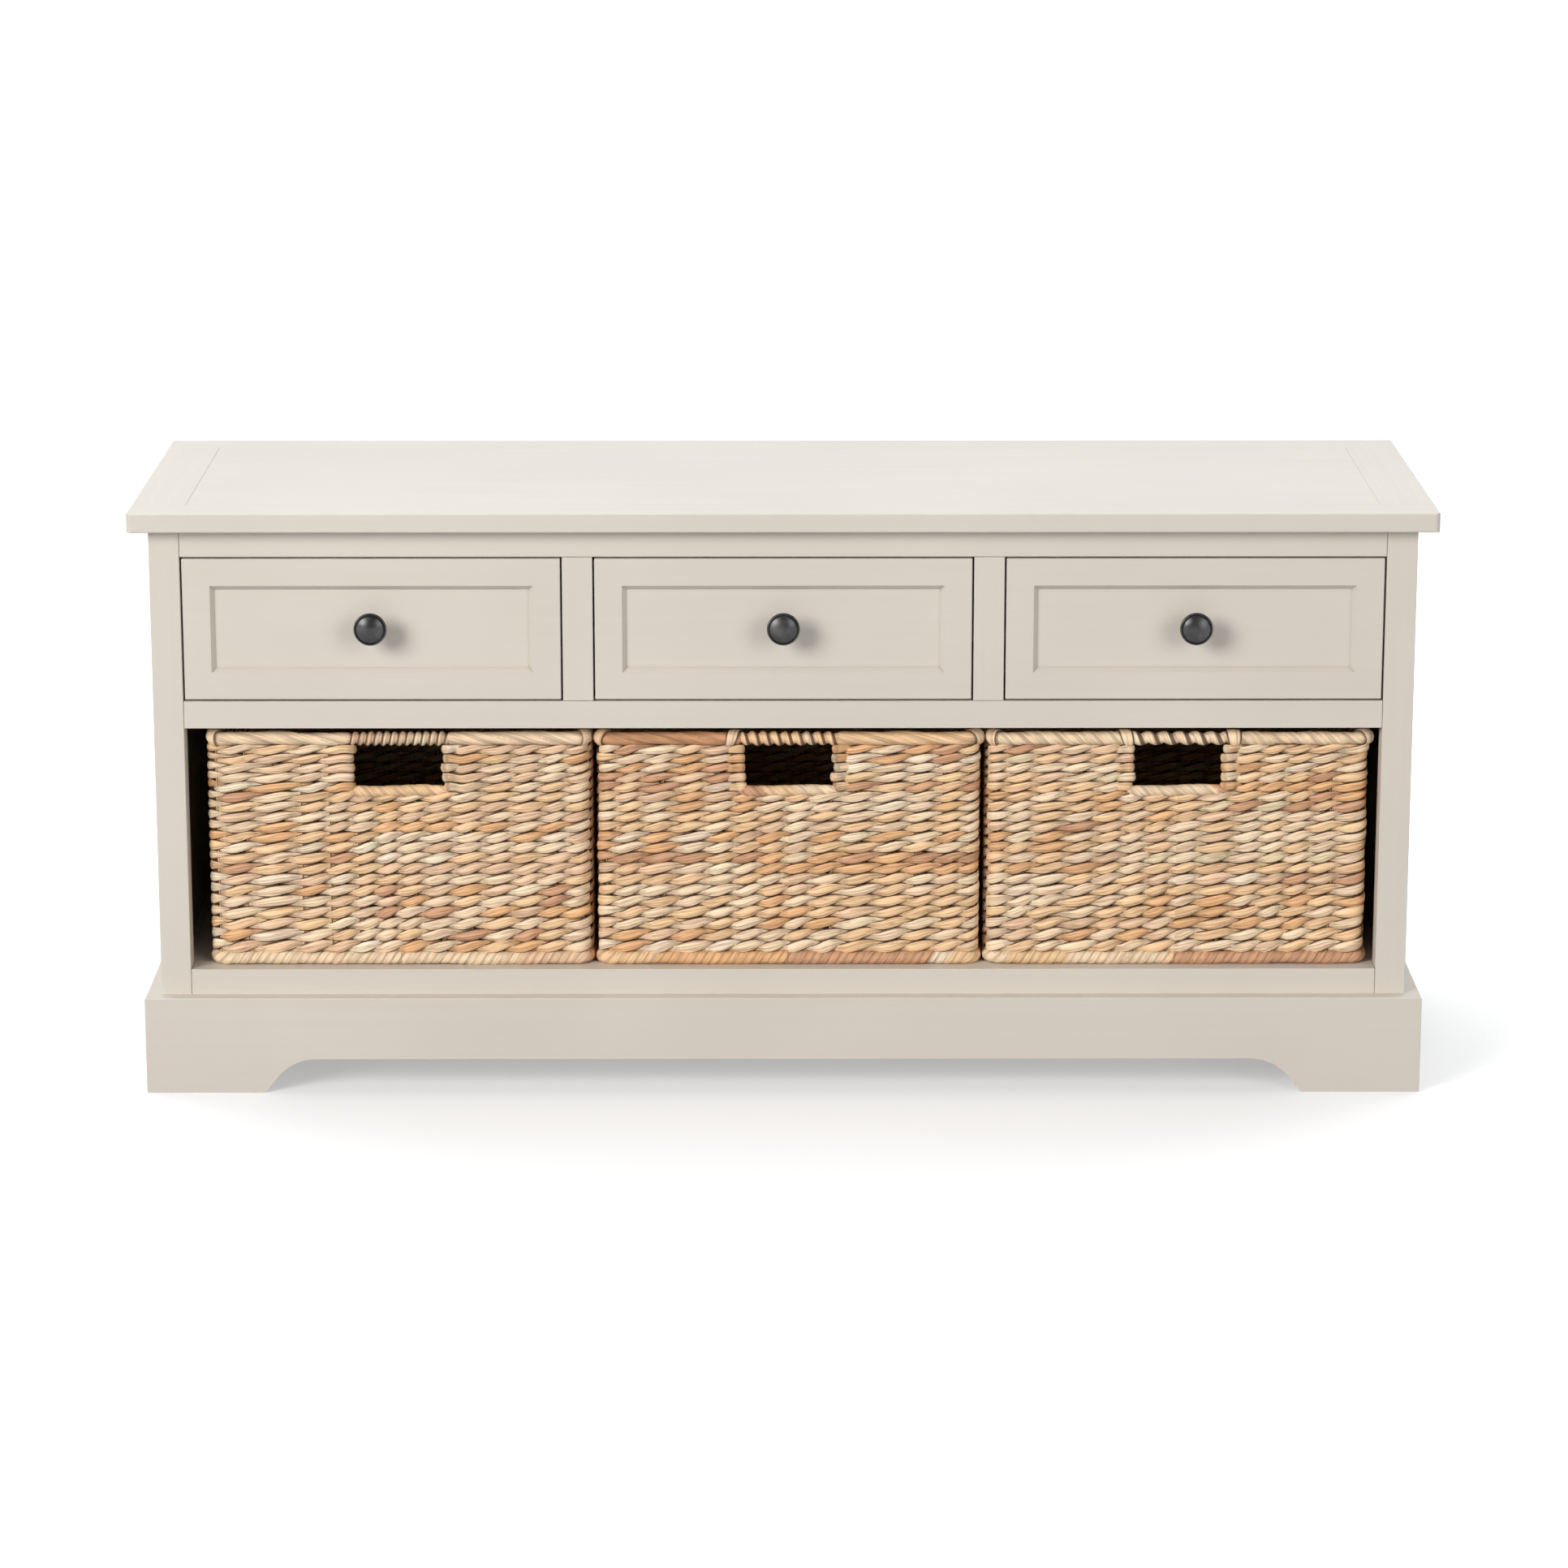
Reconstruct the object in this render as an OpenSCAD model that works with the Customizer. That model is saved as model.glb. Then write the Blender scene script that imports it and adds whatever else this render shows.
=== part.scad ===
// Entryway storage bench: a framed top over three drawers, an open bay that holds
// three woven baskets, and a plinth with bracket feet.
// Millimetres. X runs along the width, -Y is the front, +Z is up.
// The origin is on the floor, under the middle of the bench's overall box.

/* [Overall] */
// Width of the top board
top_w = 1070; // [850:5:1300]
// Depth of the top board
top_d = 340; // [280:5:420]
// Height from the floor to the seat surface
bench_h = 493; // [440:1:600]

/* [Top board] */
// Thickness of the top board
top_t = 16; // [13:1:24]
// Overhang of the top past the body at the front and the sides
top_over = 16; // [3:1:30]
// Overhang of the top past the body at the back
top_back_over = 4; // [0:1:15]
// Width of the front and back boards of the top
top_rail_w = 39; // [33:1:60]
// Width of the end boards of the top
top_end_w = 45; // [30:1:80]
// Radius of the top's corners, seen from above
top_corner_r = 5; // [2:1:12]
// Radius of the top's outer edges
top_edge_r = 1.5; // [0.5:0.5:4]
// Thickness of the tongues that join the boards of the top
tongue_t = 5; // [4:0.5:6]
// Length of the tongues that join the boards of the top
tongue_l = 7; // [4:1:10]

/* [Frame] */
// Width of the posts and of the dividers between the drawers
stile_w = 25; // [24:1:40]
// Thickness of posts, front rails, back rails and dividers
frame_t = 22; // [22:1:35]
// Height of the front rails above and below the drawers
rail_h = 23; // [20:1:40]
// Height of the lower rails, most of it behind the plinth
low_rail_h = 44; // [40:1:48]
// Height of the upper rails of the sides and the back
high_rail_h = 50; // [35:1:70]
// Thickness of the side rails
side_rail_t = 18; // [16:1:22]
// Length of the front and back rails' tenons
tenon_l = 12; // [8:1:12]
// Thickness of tenons
tenon_t = 8; // [6:1:8]
// Distance of the tenons from the outer face
tenon_set = 5; // [4:1:5]
// Bevel on the long edges of every board
ease = 0.4; // [0.2:0.1:1]

/* [Panels and shelves] */
// Thickness of the side panels
panel_t = 8; // [5:1:9]
// Distance of the side panels from the outside of the body
panel_inset = 5; // [3:1:6]
// Depth of the grooves that hold the side and back panels
groove_l = 8; // [5:1:8]
// Thickness of the back panel
back_t = 4; // [3:0.5:6]
// Distance of the back panel from the back of the body
back_inset = 9; // [6:1:9]
// Thickness of the bay floor
base_shelf_t = 15; // [12:1:20]
// Thickness of the board under the drawers
dust_board_t = 9; // [6:1:12]
// Height of the board under the drawers above the bottom of its rail
dust_board_rise = 6; // [2:1:8]
// Thickness of the partitions between the drawers
partition_t = 15; // [12:1:18]
// Side of the corner blocks under the bay floor
block_w = 40; // [25:1:60]
// Height of the corner blocks under the bay floor
block_h = 28; // [15:1:28]

/* [Plinth] */
// Height of the plinth
plinth_h = 82; // [70:1:110]
// Height of the bottom rail that shows above the plinth
bottom_rail_show = 21.5; // [10:0.5:40]
// Thickness of the plinth
plinth_t = 13; // [10:1:18]
// Length of each foot along the floor
foot_l = 99; // [60:1:110]
// Height of the cut-out between the feet
arch_h = 29; // [26:1:36]
// Radius of the hollow curve at each end of the cut-out
arch_r = 42; // [30:1:50]
// Slope of the foot below the hollow curve, in degrees
arch_slope = 52; // [40:1:60]
// Radius of the foot's lower corner
toe_r = 5; // [2:1:8]
// Bevel on the top edge of the plinth
plinth_ease = 1; // [0.5:0.5:3]

/* [Drawers] */
// Height of the drawer openings
drawer_open_h = 121; // [105:1:160]
// Gap all round each drawer front
drawer_gap = 1.5; // [1:0.5:3]
// Thickness of the drawer fronts
drawer_front_t = 18; // [16:1:20]
// Bevel on the edges of the drawer fronts
drawer_ease = 0.6; // [0.2:0.1:1.5]
// Width of the raised border round the recess of a drawer front
recess_border = 22.5; // [18:0.5:35]
// Width of the sloped edge of the recess
recess_bevel = 3.8; // [2:0.2:8]
// Depth of the recess
recess_depth = 4; // [2:0.5:6]
// Thickness of the drawer sides and backs
drawer_side_t = 12; // [11:1:16]
// Height of the drawer boxes
drawer_box_h = 90; // [60:1:95]
// Height of a drawer box above the bottom of its opening
drawer_box_rise = 6; // [3:1:8]
// Space between a drawer box and the side of its opening
drawer_side_gap = 4; // [2:0.5:6]
// Space behind a closed drawer box
drawer_back_gap = 6; // [3:1:20]
// Thickness of the drawer bottoms
drawer_bottom_t = 4; // [3:0.5:6]
// Height of the drawer bottoms above the lower edge of the box
drawer_bottom_rise = 6; // [4:1:12]
// Depth of the housings and grooves in the drawer parts
drawer_groove_l = 5; // [3:0.5:5]

/* [Runners] */
// Height of the wooden runners
runner_h = 10; // [8:1:14]
// Depth of the runner grooves in the drawer sides
runner_groove_l = 6; // [4:0.5:6]
// Clearance of the runners in their grooves
runner_gap = 0.4; // [0.3:0.1:0.8]

/* [Knobs] */
// Diameter of a knob
knob_d = 27; // [22:1:40]
// Diameter of the dome on a knob's face
knob_dome_d = 23; // [18:1:32]
// Diameter of a knob's neck
knob_neck_d = 11; // [9:1:14]
// Diameter of a knob's foot
knob_foot_d = 15; // [14:1:20]
// Reach of a knob from the recessed face
knob_reach = 27; // [25:1:35]
// Thickness of the rim of a knob
knob_rim_t = 3; // [2:0.5:5]
// Height of a knob above the middle of its drawer front
knob_rise = 4; // [0:1:10]

/* [Screws] */
// Diameter of the screws' shanks
screw_d = 4; // [3:0.5:5]
// Diameter of the screws' heads
screw_head_d = 8; // [7:0.5:9]
// Thickness of the screws' heads
screw_head_t = 2.5; // [2:0.5:3]
// Length of a knob screw inside its knob
knob_screw_bite = 12; // [8:1:14]
// Length of a top screw in the rail it passes through
top_screw_grip = 15; // [10:1:16]
// Length of a top screw in the top board
top_screw_bite = 10; // [6:1:10]
// Distance of the outer top screws from the sides of the body
top_screw_inset = 120; // [60:5:200]

/* [Baskets] */
// Space between the left post and the first basket
basket_left_gap = 15; // [3:1:25]
// Space between the right post and the last basket
basket_right_gap = 6; // [3:1:25]
// Space between two baskets
basket_gap = 2; // [1:0.5:20]
// Space between a basket and the rail above it
basket_head_gap = 7; // [3:1:40]
// Distance of the baskets behind the front of the body
basket_setback = 12; // [0:1:30]
// Space between the baskets and the back panel
basket_back_gap = 5; // [2:1:40]
// Thickness of a basket's woven walls
basket_wall = 8; // [6:1:12]
// Height of the wrapped border on a basket's rim
rim_h = 11; // [8:1:16]
// Width of the wrapped border on a basket's rim
rim_w = 11; // [9:1:16]
// Radius of a basket's corners
basket_corner_r = 14; // [13:1:30]
// Width of a basket's hand holes
handle_w = 76; // [60:1:110]
// Height of a basket's hand holes
handle_h = 35; // [30:1:50]
// Radius of the lower corners of the hand holes
handle_r = 9; // [3:1:14]

/* [Clearances] */
// Clearance of tongues and panels in their grooves, and at the ends of mortises
fit_gap = 0.1; // [0.05:0.05:0.3]
// Gap at the shoulders of the rails and dividers, which shows as a fine line
joint_gap = 0.3; // [0.1:0.1:0.5]
// Clearance round a screw in a hole that it passes through
screw_gap = 0.2; // [0.1:0.1:0.5]
// Clearance round a screw in the hole that it bites into
thread_gap = 0.05; // [0.02:0.01:0.1]
// Clearance under a basket
basket_floor_gap = 0.4; // [0.3:0.1:1]

/* [Hidden] */

// Sides, ends of the body, and the three cells across the width
LEFT = -1;
RIGHT = 1;
FRONT = 1;
BACK = -1;
FIRST = 0;
SECOND = 1;
THIRD = 2;
CELLS = 3;

// Colours
PAINT = [0.85, 0.82, 0.77];
RAW_WOOD = [0.80, 0.68, 0.50];
DARK_BOARD = [0.20, 0.17, 0.15];
GUNMETAL = [0.18, 0.19, 0.20];
STEEL = [0.70, 0.71, 0.72];
LEAF = [0.84, 0.70, 0.50];

// Cuts run this far past the surface they open
past = 1;
// Steps in a quarter circle of an outline
arc_steps = 10;
// Facets asked for on round parts
round_fn = 64;

// A divided length is rounded down to a multiple of this
size_step = 0.1;
function stepped(length) = floor(length / size_step) * size_step;

// Front to back
knob_past_top = max(0, knob_reach - recess_depth - top_over);
top_y0 = -top_d / 2 + knob_past_top / 2;
top_y1 = top_y0 + top_d;
body_y0 = top_y0 + top_over;
body_y1 = top_y1 - top_back_over;
inner_y0 = body_y0 + frame_t;
inner_y1 = body_y1 - frame_t;
back_panel_y1 = body_y1 - back_inset;
back_panel_y0 = back_panel_y1 - back_t;

// Side to side
body_x = top_w / 2 - top_over;
inner_x = body_x - stile_w;
side_rail_x = body_x - side_rail_t;
panel_x1 = body_x - panel_inset;
panel_x0 = panel_x1 - panel_t;
open_w = stepped((2 * inner_x - (CELLS - 1) * stile_w) / CELLS);
cell_pitch = open_w + stile_w;

// Floor to top
top_z0 = bench_h - top_t;
top_rail_z0 = top_z0 - rail_h;
open_z0 = top_rail_z0 - drawer_open_h;
mid_rail_z0 = open_z0 - rail_h;
bay_z0 = plinth_h + bottom_rail_show;
low_rail_z0 = bay_z0 - low_rail_h;
high_rail_z0 = top_z0 - high_rail_h;
plinth_x = body_x + plinth_t;
plinth_y0 = body_y0 - plinth_t;

// Joints: how much narrower a tenon is than its rail, and how far it reaches
shoulder = 4;
panel_shoulder = groove_l + 1;
divider_tenon_l = 7;
tongue_z0 = top_z0 + (top_t - tongue_t) / 2;

// Drawers
front_w = open_w - 2 * drawer_gap;
front_h = drawer_open_h - 2 * drawer_gap;
front_z0 = open_z0 + drawer_gap;
front_y1 = body_y0 + drawer_front_t;
box_x = open_w / 2 - drawer_side_gap;
box_inner_x = box_x - drawer_side_t;
box_y0 = front_y1 - drawer_groove_l;
box_y1 = inner_y1 - drawer_back_gap;
box_z0 = open_z0 + drawer_box_rise;
box_z1 = box_z0 + drawer_box_h;
bottom_z0 = box_z0 + drawer_bottom_rise;
runner_z = (box_z0 + box_z1) / 2;

// Knobs: the shapes along a knob's half section
knob_foot_t = 1.5;
knob_bevel = 1;
knob_fillet = 1.5;
knob_sweep = 1.1;
knob_dome_rise = 4;
knob_groove_w = 0.6;
knob_groove_depth = 0.8;
knob_y = body_y0 + recess_depth;
knob_z = front_z0 + front_h / 2 + knob_rise;

// Baskets
basket_w = stepped((2 * inner_x - basket_left_gap - basket_right_gap - (CELLS - 1) * basket_gap) / CELLS);
basket_y0 = body_y0 + basket_setback;
basket_d = back_panel_y0 - basket_back_gap - basket_y0;
basket_z0 = bay_z0 + basket_floor_gap;
basket_h = mid_rail_z0 - basket_head_gap - basket_z0;

// The woven wall lies this far inside the outer face of the rim
weave_set = 1;

// Top screws
top_screw_x = body_x - top_screw_inset;
top_screw_z0 = top_z0 - top_screw_grip;

// Middle of a drawer cell, and middle of a basket
function cell_x(cell) = (cell - SECOND) * cell_pitch;
function basket_x(cell) = -inner_x + basket_left_gap + basket_w / 2 + cell * (basket_w + basket_gap);
function divider_x(side) = side * cell_pitch / 2;

// Points along an arc, from one angle to another
function arc(cx, cy, r, from, to) =
    [for (i = [0 : arc_steps]) let (a = from + (to - from) * i / arc_steps)
        [cx + r * cos(a), cy + r * sin(a)]];

// Rectangle with every corner cut off
function cut_rect(w, h, c) =
    [[c, 0], [w - c, 0], [w, c], [w, h - c], [w - c, h], [c, h], [0, h - c], [0, c]];

// Rectangle about the origin with rounded corners
function round_rect(w, d, r) = concat(
    arc(w / 2 - r, d / 2 - r, r, 0, 90), arc(r - w / 2, d / 2 - r, r, 90, 180),
    arc(r - w / 2, r - d / 2, r, 180, 270), arc(w / 2 - r, r - d / 2, r, 270, 360));

// Plain box between two corners
module block(p, q) {
    translate(p) cube(q - p);
}

// Flat outline in X and Z, made solid from y0 to y1
module along_y(y0, y1) {
    translate([0, y1, 0]) rotate([90, 0, 0]) linear_extrude(y1 - y0) children();
}

// Flat outline in Y and Z, made solid from x0 to x1
module along_x(x0, x1) {
    translate([x0, 0, 0]) rotate([90, 0, 90]) linear_extrude(x1 - x0) children();
}

// Board between two corners with all its edges eased
module board(p, q, c = ease) {
    s = q - p;
    translate(p) intersection() {
        linear_extrude(s.z) polygon(cut_rect(s.x, s.y, c));
        along_y(0, s.y) polygon(cut_rect(s.x, s.z, c));
        along_x(0, s.x) polygon(cut_rect(s.y, s.z, c));
    }
}

// A right-hand part, or its mirror image on the left
module on_side(side) {
    mirror([side < 0 ? 1 : 0, 0, 0]) children();
}

// Distance d in from the body's front or back, as a place along Y
function set_in(end, d) = end == FRONT ? body_y0 + d : body_y1 - d;

// Box between two depths from the front or the back
module depth_block(end, x0, x1, d0, d1, z0, z1) {
    ya = set_in(end, d0);
    yb = set_in(end, d1);
    block([x0, min(ya, yb), z0], [x1, max(ya, yb), z1]);
}

// Top board ------------------------------------------------------------------

// Outer shape of the whole top, with rounded corners and edges
module top_shape() {
    half_w = top_w / 2;
    half_d = top_d / 2;
    half_t = top_t / 2;
    translate([0, top_y0 + half_d, top_z0 + half_t]) intersection() {
        translate([0, 0, -half_t]) linear_extrude(top_t) polygon(round_rect(top_w, top_d, top_corner_r));
        along_y(-half_d, half_d) polygon(round_rect(top_w, top_t, top_edge_r));
        along_x(-half_w, half_w) polygon(round_rect(top_d, top_t, top_edge_r));
    }
}

// Tongue, or the groove for it, between two corners in plan
module tongue(x0, x1, y0, y1, gap = 0) {
    block([x0 - gap, y0 - gap, tongue_z0 - gap], [x1 + gap, y1 + gap, tongue_z0 + tongue_t + gap]);
}

// Pilot holes of the screws under one board of the top
module pilot_holes(end) {
    for (x = [-top_screw_x, 0, top_screw_x])
        translate([x, set_in(end, frame_t / 2), top_z0 - past])
            cylinder(h = top_screw_bite + 2 * past, d = screw_d + 2 * thread_gap, $fn = round_fn);
}

// Long board at the front or back of the top
module top_long_board(end) {
    half_w = top_w / 2;
    inner_edge = end == FRONT ? top_y0 + top_rail_w : top_y1 - top_rail_w;
    outer_edge = end == FRONT ? top_y0 : top_y1;
    lo = [-half_w, min(inner_edge, outer_edge), top_z0];
    hi = [half_w, max(inner_edge, outer_edge), bench_h];
    groove_x = half_w - top_end_w / 2;
    color(PAINT) difference() {
        intersection() {
            top_shape();
            board(lo, hi);
        }
        tongue(-groove_x, groove_x, inner_edge - tongue_l, inner_edge + tongue_l, fit_gap);
        pilot_holes(end);
    }
}

// Board at one end of the top, between the two long boards
module top_end_board(side) {
    y0 = top_y0 + top_rail_w;
    y1 = top_y1 - top_rail_w;
    x0 = top_w / 2 - top_end_w;
    color(PAINT) on_side(side) difference() {
        union() {
            intersection() {
                top_shape();
                board([x0, y0, top_z0], [top_w / 2, y1, bench_h]);
            }
            tongue(x0 + tongue_l, x0 + top_end_w / 2 - 2 * fit_gap, y0 - tongue_l, y1 + tongue_l);
        }
        tongue(x0 - tongue_l, x0 + tongue_l, y0 - 2 * tongue_l, y1 + 2 * tongue_l, fit_gap);
    }
}

// Panel in the middle of the top
module top_panel() {
    x = top_w / 2 - top_end_w;
    y0 = top_y0 + top_rail_w;
    y1 = top_y1 - top_rail_w;
    tongue_x = x + tongue_l - fit_gap;
    color(PAINT) {
        board([-x, y0, top_z0], [x, y1, bench_h]);
        tongue(-tongue_x, tongue_x, y0 - tongue_l + fit_gap, y1 + tongue_l - fit_gap);
    }
}

// Posts and rails ------------------------------------------------------------

// Tenon at the right-hand end of a front or back rail
module rail_tenon(end, z0, z1, cut) {
    depth_block(end, inner_x - past, inner_x + tenon_l, tenon_set, tenon_set + tenon_t, z0 + cut, z1 - cut);
}

// Mortise for that tenon, tight on its two cheeks
module rail_mortise(end, z0, z1, cut) {
    depth_block(end, inner_x - past, inner_x + tenon_l + past, tenon_set, tenon_set + tenon_t,
        z0 + cut - fit_gap, z1 - cut + fit_gap);
}

// Groove for the side panel and the side rails in a right-hand post
module post_side_groove(end) {
    depth_block(end, panel_x0 - fit_gap, panel_x1 + fit_gap, frame_t - groove_l - fit_gap, frame_t + past,
        low_rail_z0 + shoulder - fit_gap, top_z0 + past);
}

// Groove for the back panel in a right-hand back post
module post_back_groove() {
    block([inner_x - past, back_panel_y0 - fit_gap, bay_z0 - groove_l - fit_gap],
        [inner_x + groove_l + fit_gap, back_panel_y1 + fit_gap, high_rail_z0 + groove_l + fit_gap]);
}

module front_post(side) {
    color(PAINT) on_side(side) difference() {
        board([inner_x, body_y0, 0], [body_x, inner_y0, top_z0]);
        rail_mortise(FRONT, top_rail_z0, top_z0, shoulder);
        rail_mortise(FRONT, mid_rail_z0, open_z0, shoulder);
        rail_mortise(FRONT, low_rail_z0, bay_z0, shoulder);
        post_side_groove(FRONT);
    }
}

module back_post(side) {
    color(PAINT) on_side(side) difference() {
        board([inner_x, inner_y1, 0], [body_x, body_y1, top_z0]);
        rail_mortise(BACK, high_rail_z0, top_z0, panel_shoulder);
        rail_mortise(BACK, low_rail_z0, bay_z0, panel_shoulder);
        post_side_groove(BACK);
        post_back_groove();
    }
}

// Rail between the posts, with a tenon at each end
module cross_rail(end, z0, z1, cut) {
    y0 = end == FRONT ? body_y0 : inner_y1;
    x = inner_x - joint_gap;
    board([-x, y0, z0], [x, y0 + frame_t, z1]);
    for (side = [LEFT, RIGHT])
        on_side(side) rail_tenon(end, z0, z1, cut);
}

// Holes for the screws that hold the top, through a rail from below
module top_screw_holes(end, z0) {
    for (x = [-top_screw_x, 0, top_screw_x])
        translate([x, set_in(end, frame_t / 2), 0]) {
            translate([0, 0, z0 - past])
                cylinder(h = top_screw_z0 - z0 + past, d = screw_head_d + 2 * screw_gap, $fn = round_fn);
            translate([0, 0, top_screw_z0 - past])
                cylinder(h = top_screw_grip + 2 * past, d = screw_d + 2 * screw_gap, $fn = round_fn);
        }
}

// Tenon at the bottom or top of a divider, or the mortise for it
module divider_tenon(side, z0, z1, gap = 0) {
    x = divider_x(side);
    w = stile_w / 2 - shoulder;
    depth_block(FRONT, x - w - gap, x + w + gap, tenon_set - gap, tenon_set + tenon_t + gap,
        z0 - gap, z1 + gap);
}

module lower_divider_tenon(side, gap = 0) {
    divider_tenon(side, open_z0 - divider_tenon_l, open_z0 + shoulder, gap);
}

module upper_divider_tenon(side, gap = 0) {
    divider_tenon(side, top_rail_z0 - shoulder, top_rail_z0 + divider_tenon_l, gap);
}

module front_top_rail() {
    color(PAINT) difference() {
        cross_rail(FRONT, top_rail_z0, top_z0, shoulder);
        for (side = [LEFT, RIGHT])
            upper_divider_tenon(side, fit_gap);
        top_screw_holes(FRONT, top_rail_z0);
    }
}

module front_middle_rail() {
    color(PAINT) difference() {
        cross_rail(FRONT, mid_rail_z0, open_z0, shoulder);
        for (side = [LEFT, RIGHT])
            lower_divider_tenon(side, fit_gap);
    }
}

module front_bottom_rail() {
    color(PAINT) cross_rail(FRONT, low_rail_z0, bay_z0, shoulder);
}

// Groove for the back panel along a back rail
module back_rail_groove(z) {
    block([-inner_x - past, back_panel_y0 - fit_gap, z - groove_l - fit_gap],
        [inner_x + past, back_panel_y1 + fit_gap, z + groove_l + fit_gap]);
}

module back_top_rail() {
    color(PAINT) difference() {
        cross_rail(BACK, high_rail_z0, top_z0, panel_shoulder);
        back_rail_groove(high_rail_z0);
        top_screw_holes(BACK, high_rail_z0);
    }
}

module back_bottom_rail() {
    color(PAINT) difference() {
        cross_rail(BACK, low_rail_z0, bay_z0, panel_shoulder);
        back_rail_groove(bay_z0);
    }
}

module divider(side) {
    x = divider_x(side);
    color(PAINT) {
        board([x - stile_w / 2, body_y0, open_z0 + joint_gap],
            [x + stile_w / 2, inner_y0, top_rail_z0 - joint_gap]);
        lower_divider_tenon(side);
        upper_divider_tenon(side);
    }
}

// Sides and back -------------------------------------------------------------

// One right-hand side rail with its stub tenons and its groove
module side_rail(z0, z1, groove_z, tenon_z0, tenon_z1) {
    difference() {
        union() {
            board([side_rail_x, inner_y0, z0], [body_x, inner_y1, z1]);
            block([panel_x0, inner_y0 - groove_l, tenon_z0], [panel_x1, inner_y1 + groove_l, tenon_z1]);
        }
        block([panel_x0 - fit_gap, inner_y0 - 2 * groove_l, groove_z - groove_l],
            [panel_x1 + fit_gap, inner_y1 + 2 * groove_l, groove_z + groove_l]);
    }
}

module side_rails(side) {
    color(PAINT) on_side(side) {
        side_rail(high_rail_z0, top_z0, high_rail_z0, high_rail_z0 + panel_shoulder, top_z0 - shoulder);
        side_rail(low_rail_z0, bay_z0, bay_z0, low_rail_z0 + shoulder, bay_z0 - panel_shoulder);
    }
}

module side_panel(side) {
    color(PAINT) on_side(side)
        block([panel_x0, inner_y0 - groove_l + fit_gap, bay_z0 - groove_l],
            [panel_x1, inner_y1 + groove_l - fit_gap, high_rail_z0 + groove_l - fit_gap]);
}

module back_panel() {
    x = inner_x + groove_l - fit_gap;
    color(DARK_BOARD)
        block([-x, back_panel_y0, bay_z0 - groove_l - fit_gap],
            [x, back_panel_y1, high_rail_z0 + groove_l - fit_gap]);
}

// Inside the body ------------------------------------------------------------

module dust_board() {
    z0 = mid_rail_z0 + dust_board_rise;
    z1 = z0 + dust_board_t;
    x = panel_x0 - fit_gap;
    color(DARK_BOARD) {
        block([-x, inner_y0, z0], [x, inner_y1, z1]);
        block([-inner_x + fit_gap, inner_y1 - past, z0], [inner_x - fit_gap, back_panel_y0, z1]);
    }
}

module partition(side) {
    x = divider_x(side);
    z0 = mid_rail_z0 + dust_board_rise + dust_board_t;
    color(DARK_BOARD)
        block([x - partition_t / 2, inner_y0, z0], [x + partition_t / 2, inner_y1, top_z0]);
}

module bay_floor() {
    color(PAINT)
        block([-side_rail_x, inner_y0, bay_z0 - base_shelf_t], [side_rail_x, inner_y1, bay_z0]);
}

module corner_blocks() {
    z0 = bay_z0 - base_shelf_t - block_h;
    color(RAW_WOOD) for (side = [LEFT, RIGHT]) on_side(side) {
        translate([side_rail_x, inner_y0, z0])
            linear_extrude(block_h) polygon([[0, 0], [0, block_w], [-block_w, 0]]);
        translate([side_rail_x, inner_y1, z0])
            linear_extrude(block_h) polygon([[0, 0], [-block_w, 0], [0, -block_w]]);
    }
}

// Place along X of the wall that a cell's runner is fixed to
function wall_x(cell, side) = (cell - SECOND) * side == 1
    ? side * panel_x0 : cell_x(cell) + side * (open_w + stile_w - partition_t) / 2;

// Place along X of the runner's other edge, inside the drawer's groove
function runner_x(cell, side) = cell_x(cell) + side * (box_x - runner_groove_l + runner_gap);

module drawer_runners() {
    color(RAW_WOOD) for (cell = [FIRST : THIRD], side = [LEFT, RIGHT]) {
        xa = wall_x(cell, side);
        xb = runner_x(cell, side);
        block([min(xa, xb), inner_y0, runner_z - runner_h / 2],
            [max(xa, xb), inner_y1, runner_z + runner_h / 2]);
    }
}

// Flat-headed screw along +Z, with its head below the origin
module screw(length) {
    cylinder(h = length, d = screw_d, $fn = round_fn);
    translate([0, 0, -screw_head_t])
        cylinder(h = screw_head_t, d = screw_head_d, $fn = round_fn);
}

module top_screws() {
    color(STEEL) for (end = [FRONT, BACK], x = [-top_screw_x, 0, top_screw_x])
        translate([x, set_in(end, frame_t / 2), top_screw_z0])
            screw(top_screw_grip + top_screw_bite);
}

// Plinth ---------------------------------------------------------------------

// Half of the plinth's lower outline, from the middle of the cut-out to the foot's end
function foot_curve(half) =
    let (
        slope_w = (arch_h - arch_r * (1 - cos(arch_slope))) / tan(arch_slope),
        curve_w = arch_r * sin(arch_slope),
        foot_x = half - foot_l,
        flat_x = foot_x - slope_w - curve_w,
        toe_w = toe_r * tan(arch_slope / 2)
    )
    concat(
        arc(flat_x, arch_h - arch_r, arch_r, 90, 90 - arch_slope),
        arc(foot_x + toe_w, toe_r, toe_r, 270 - arch_slope, 270));

// Outline of a plinth board, centred, with feet at both ends
function plinth_outline(half) =
    let (curve = foot_curve(half), last = len(curve) - 1)
    concat(
        [[-half, plinth_h], [-half, 0]],
        [for (i = [last : -1 : 0]) [-curve[i].x, curve[i].y]],
        curve,
        [[half, 0], [half, plinth_h]]);

// Cross section of a plinth board, with its top outer edge eased
function plinth_section(out, inner) =
    let (s = out < inner ? plinth_ease : -plinth_ease)
    [[out, 0], [inner, 0], [inner, plinth_h], [out + s, plinth_h], [out, plinth_h - plinth_ease]];

module plinth_front() {
    color(PAINT) intersection() {
        along_y(plinth_y0, body_y0) polygon(plinth_outline(plinth_x));
        linear_extrude(plinth_h)
            polygon([[-plinth_x, plinth_y0], [plinth_x, plinth_y0], [body_x, body_y0], [-body_x, body_y0]]);
        along_x(-plinth_x, plinth_x) polygon(plinth_section(plinth_y0, body_y0));
    }
}

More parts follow.
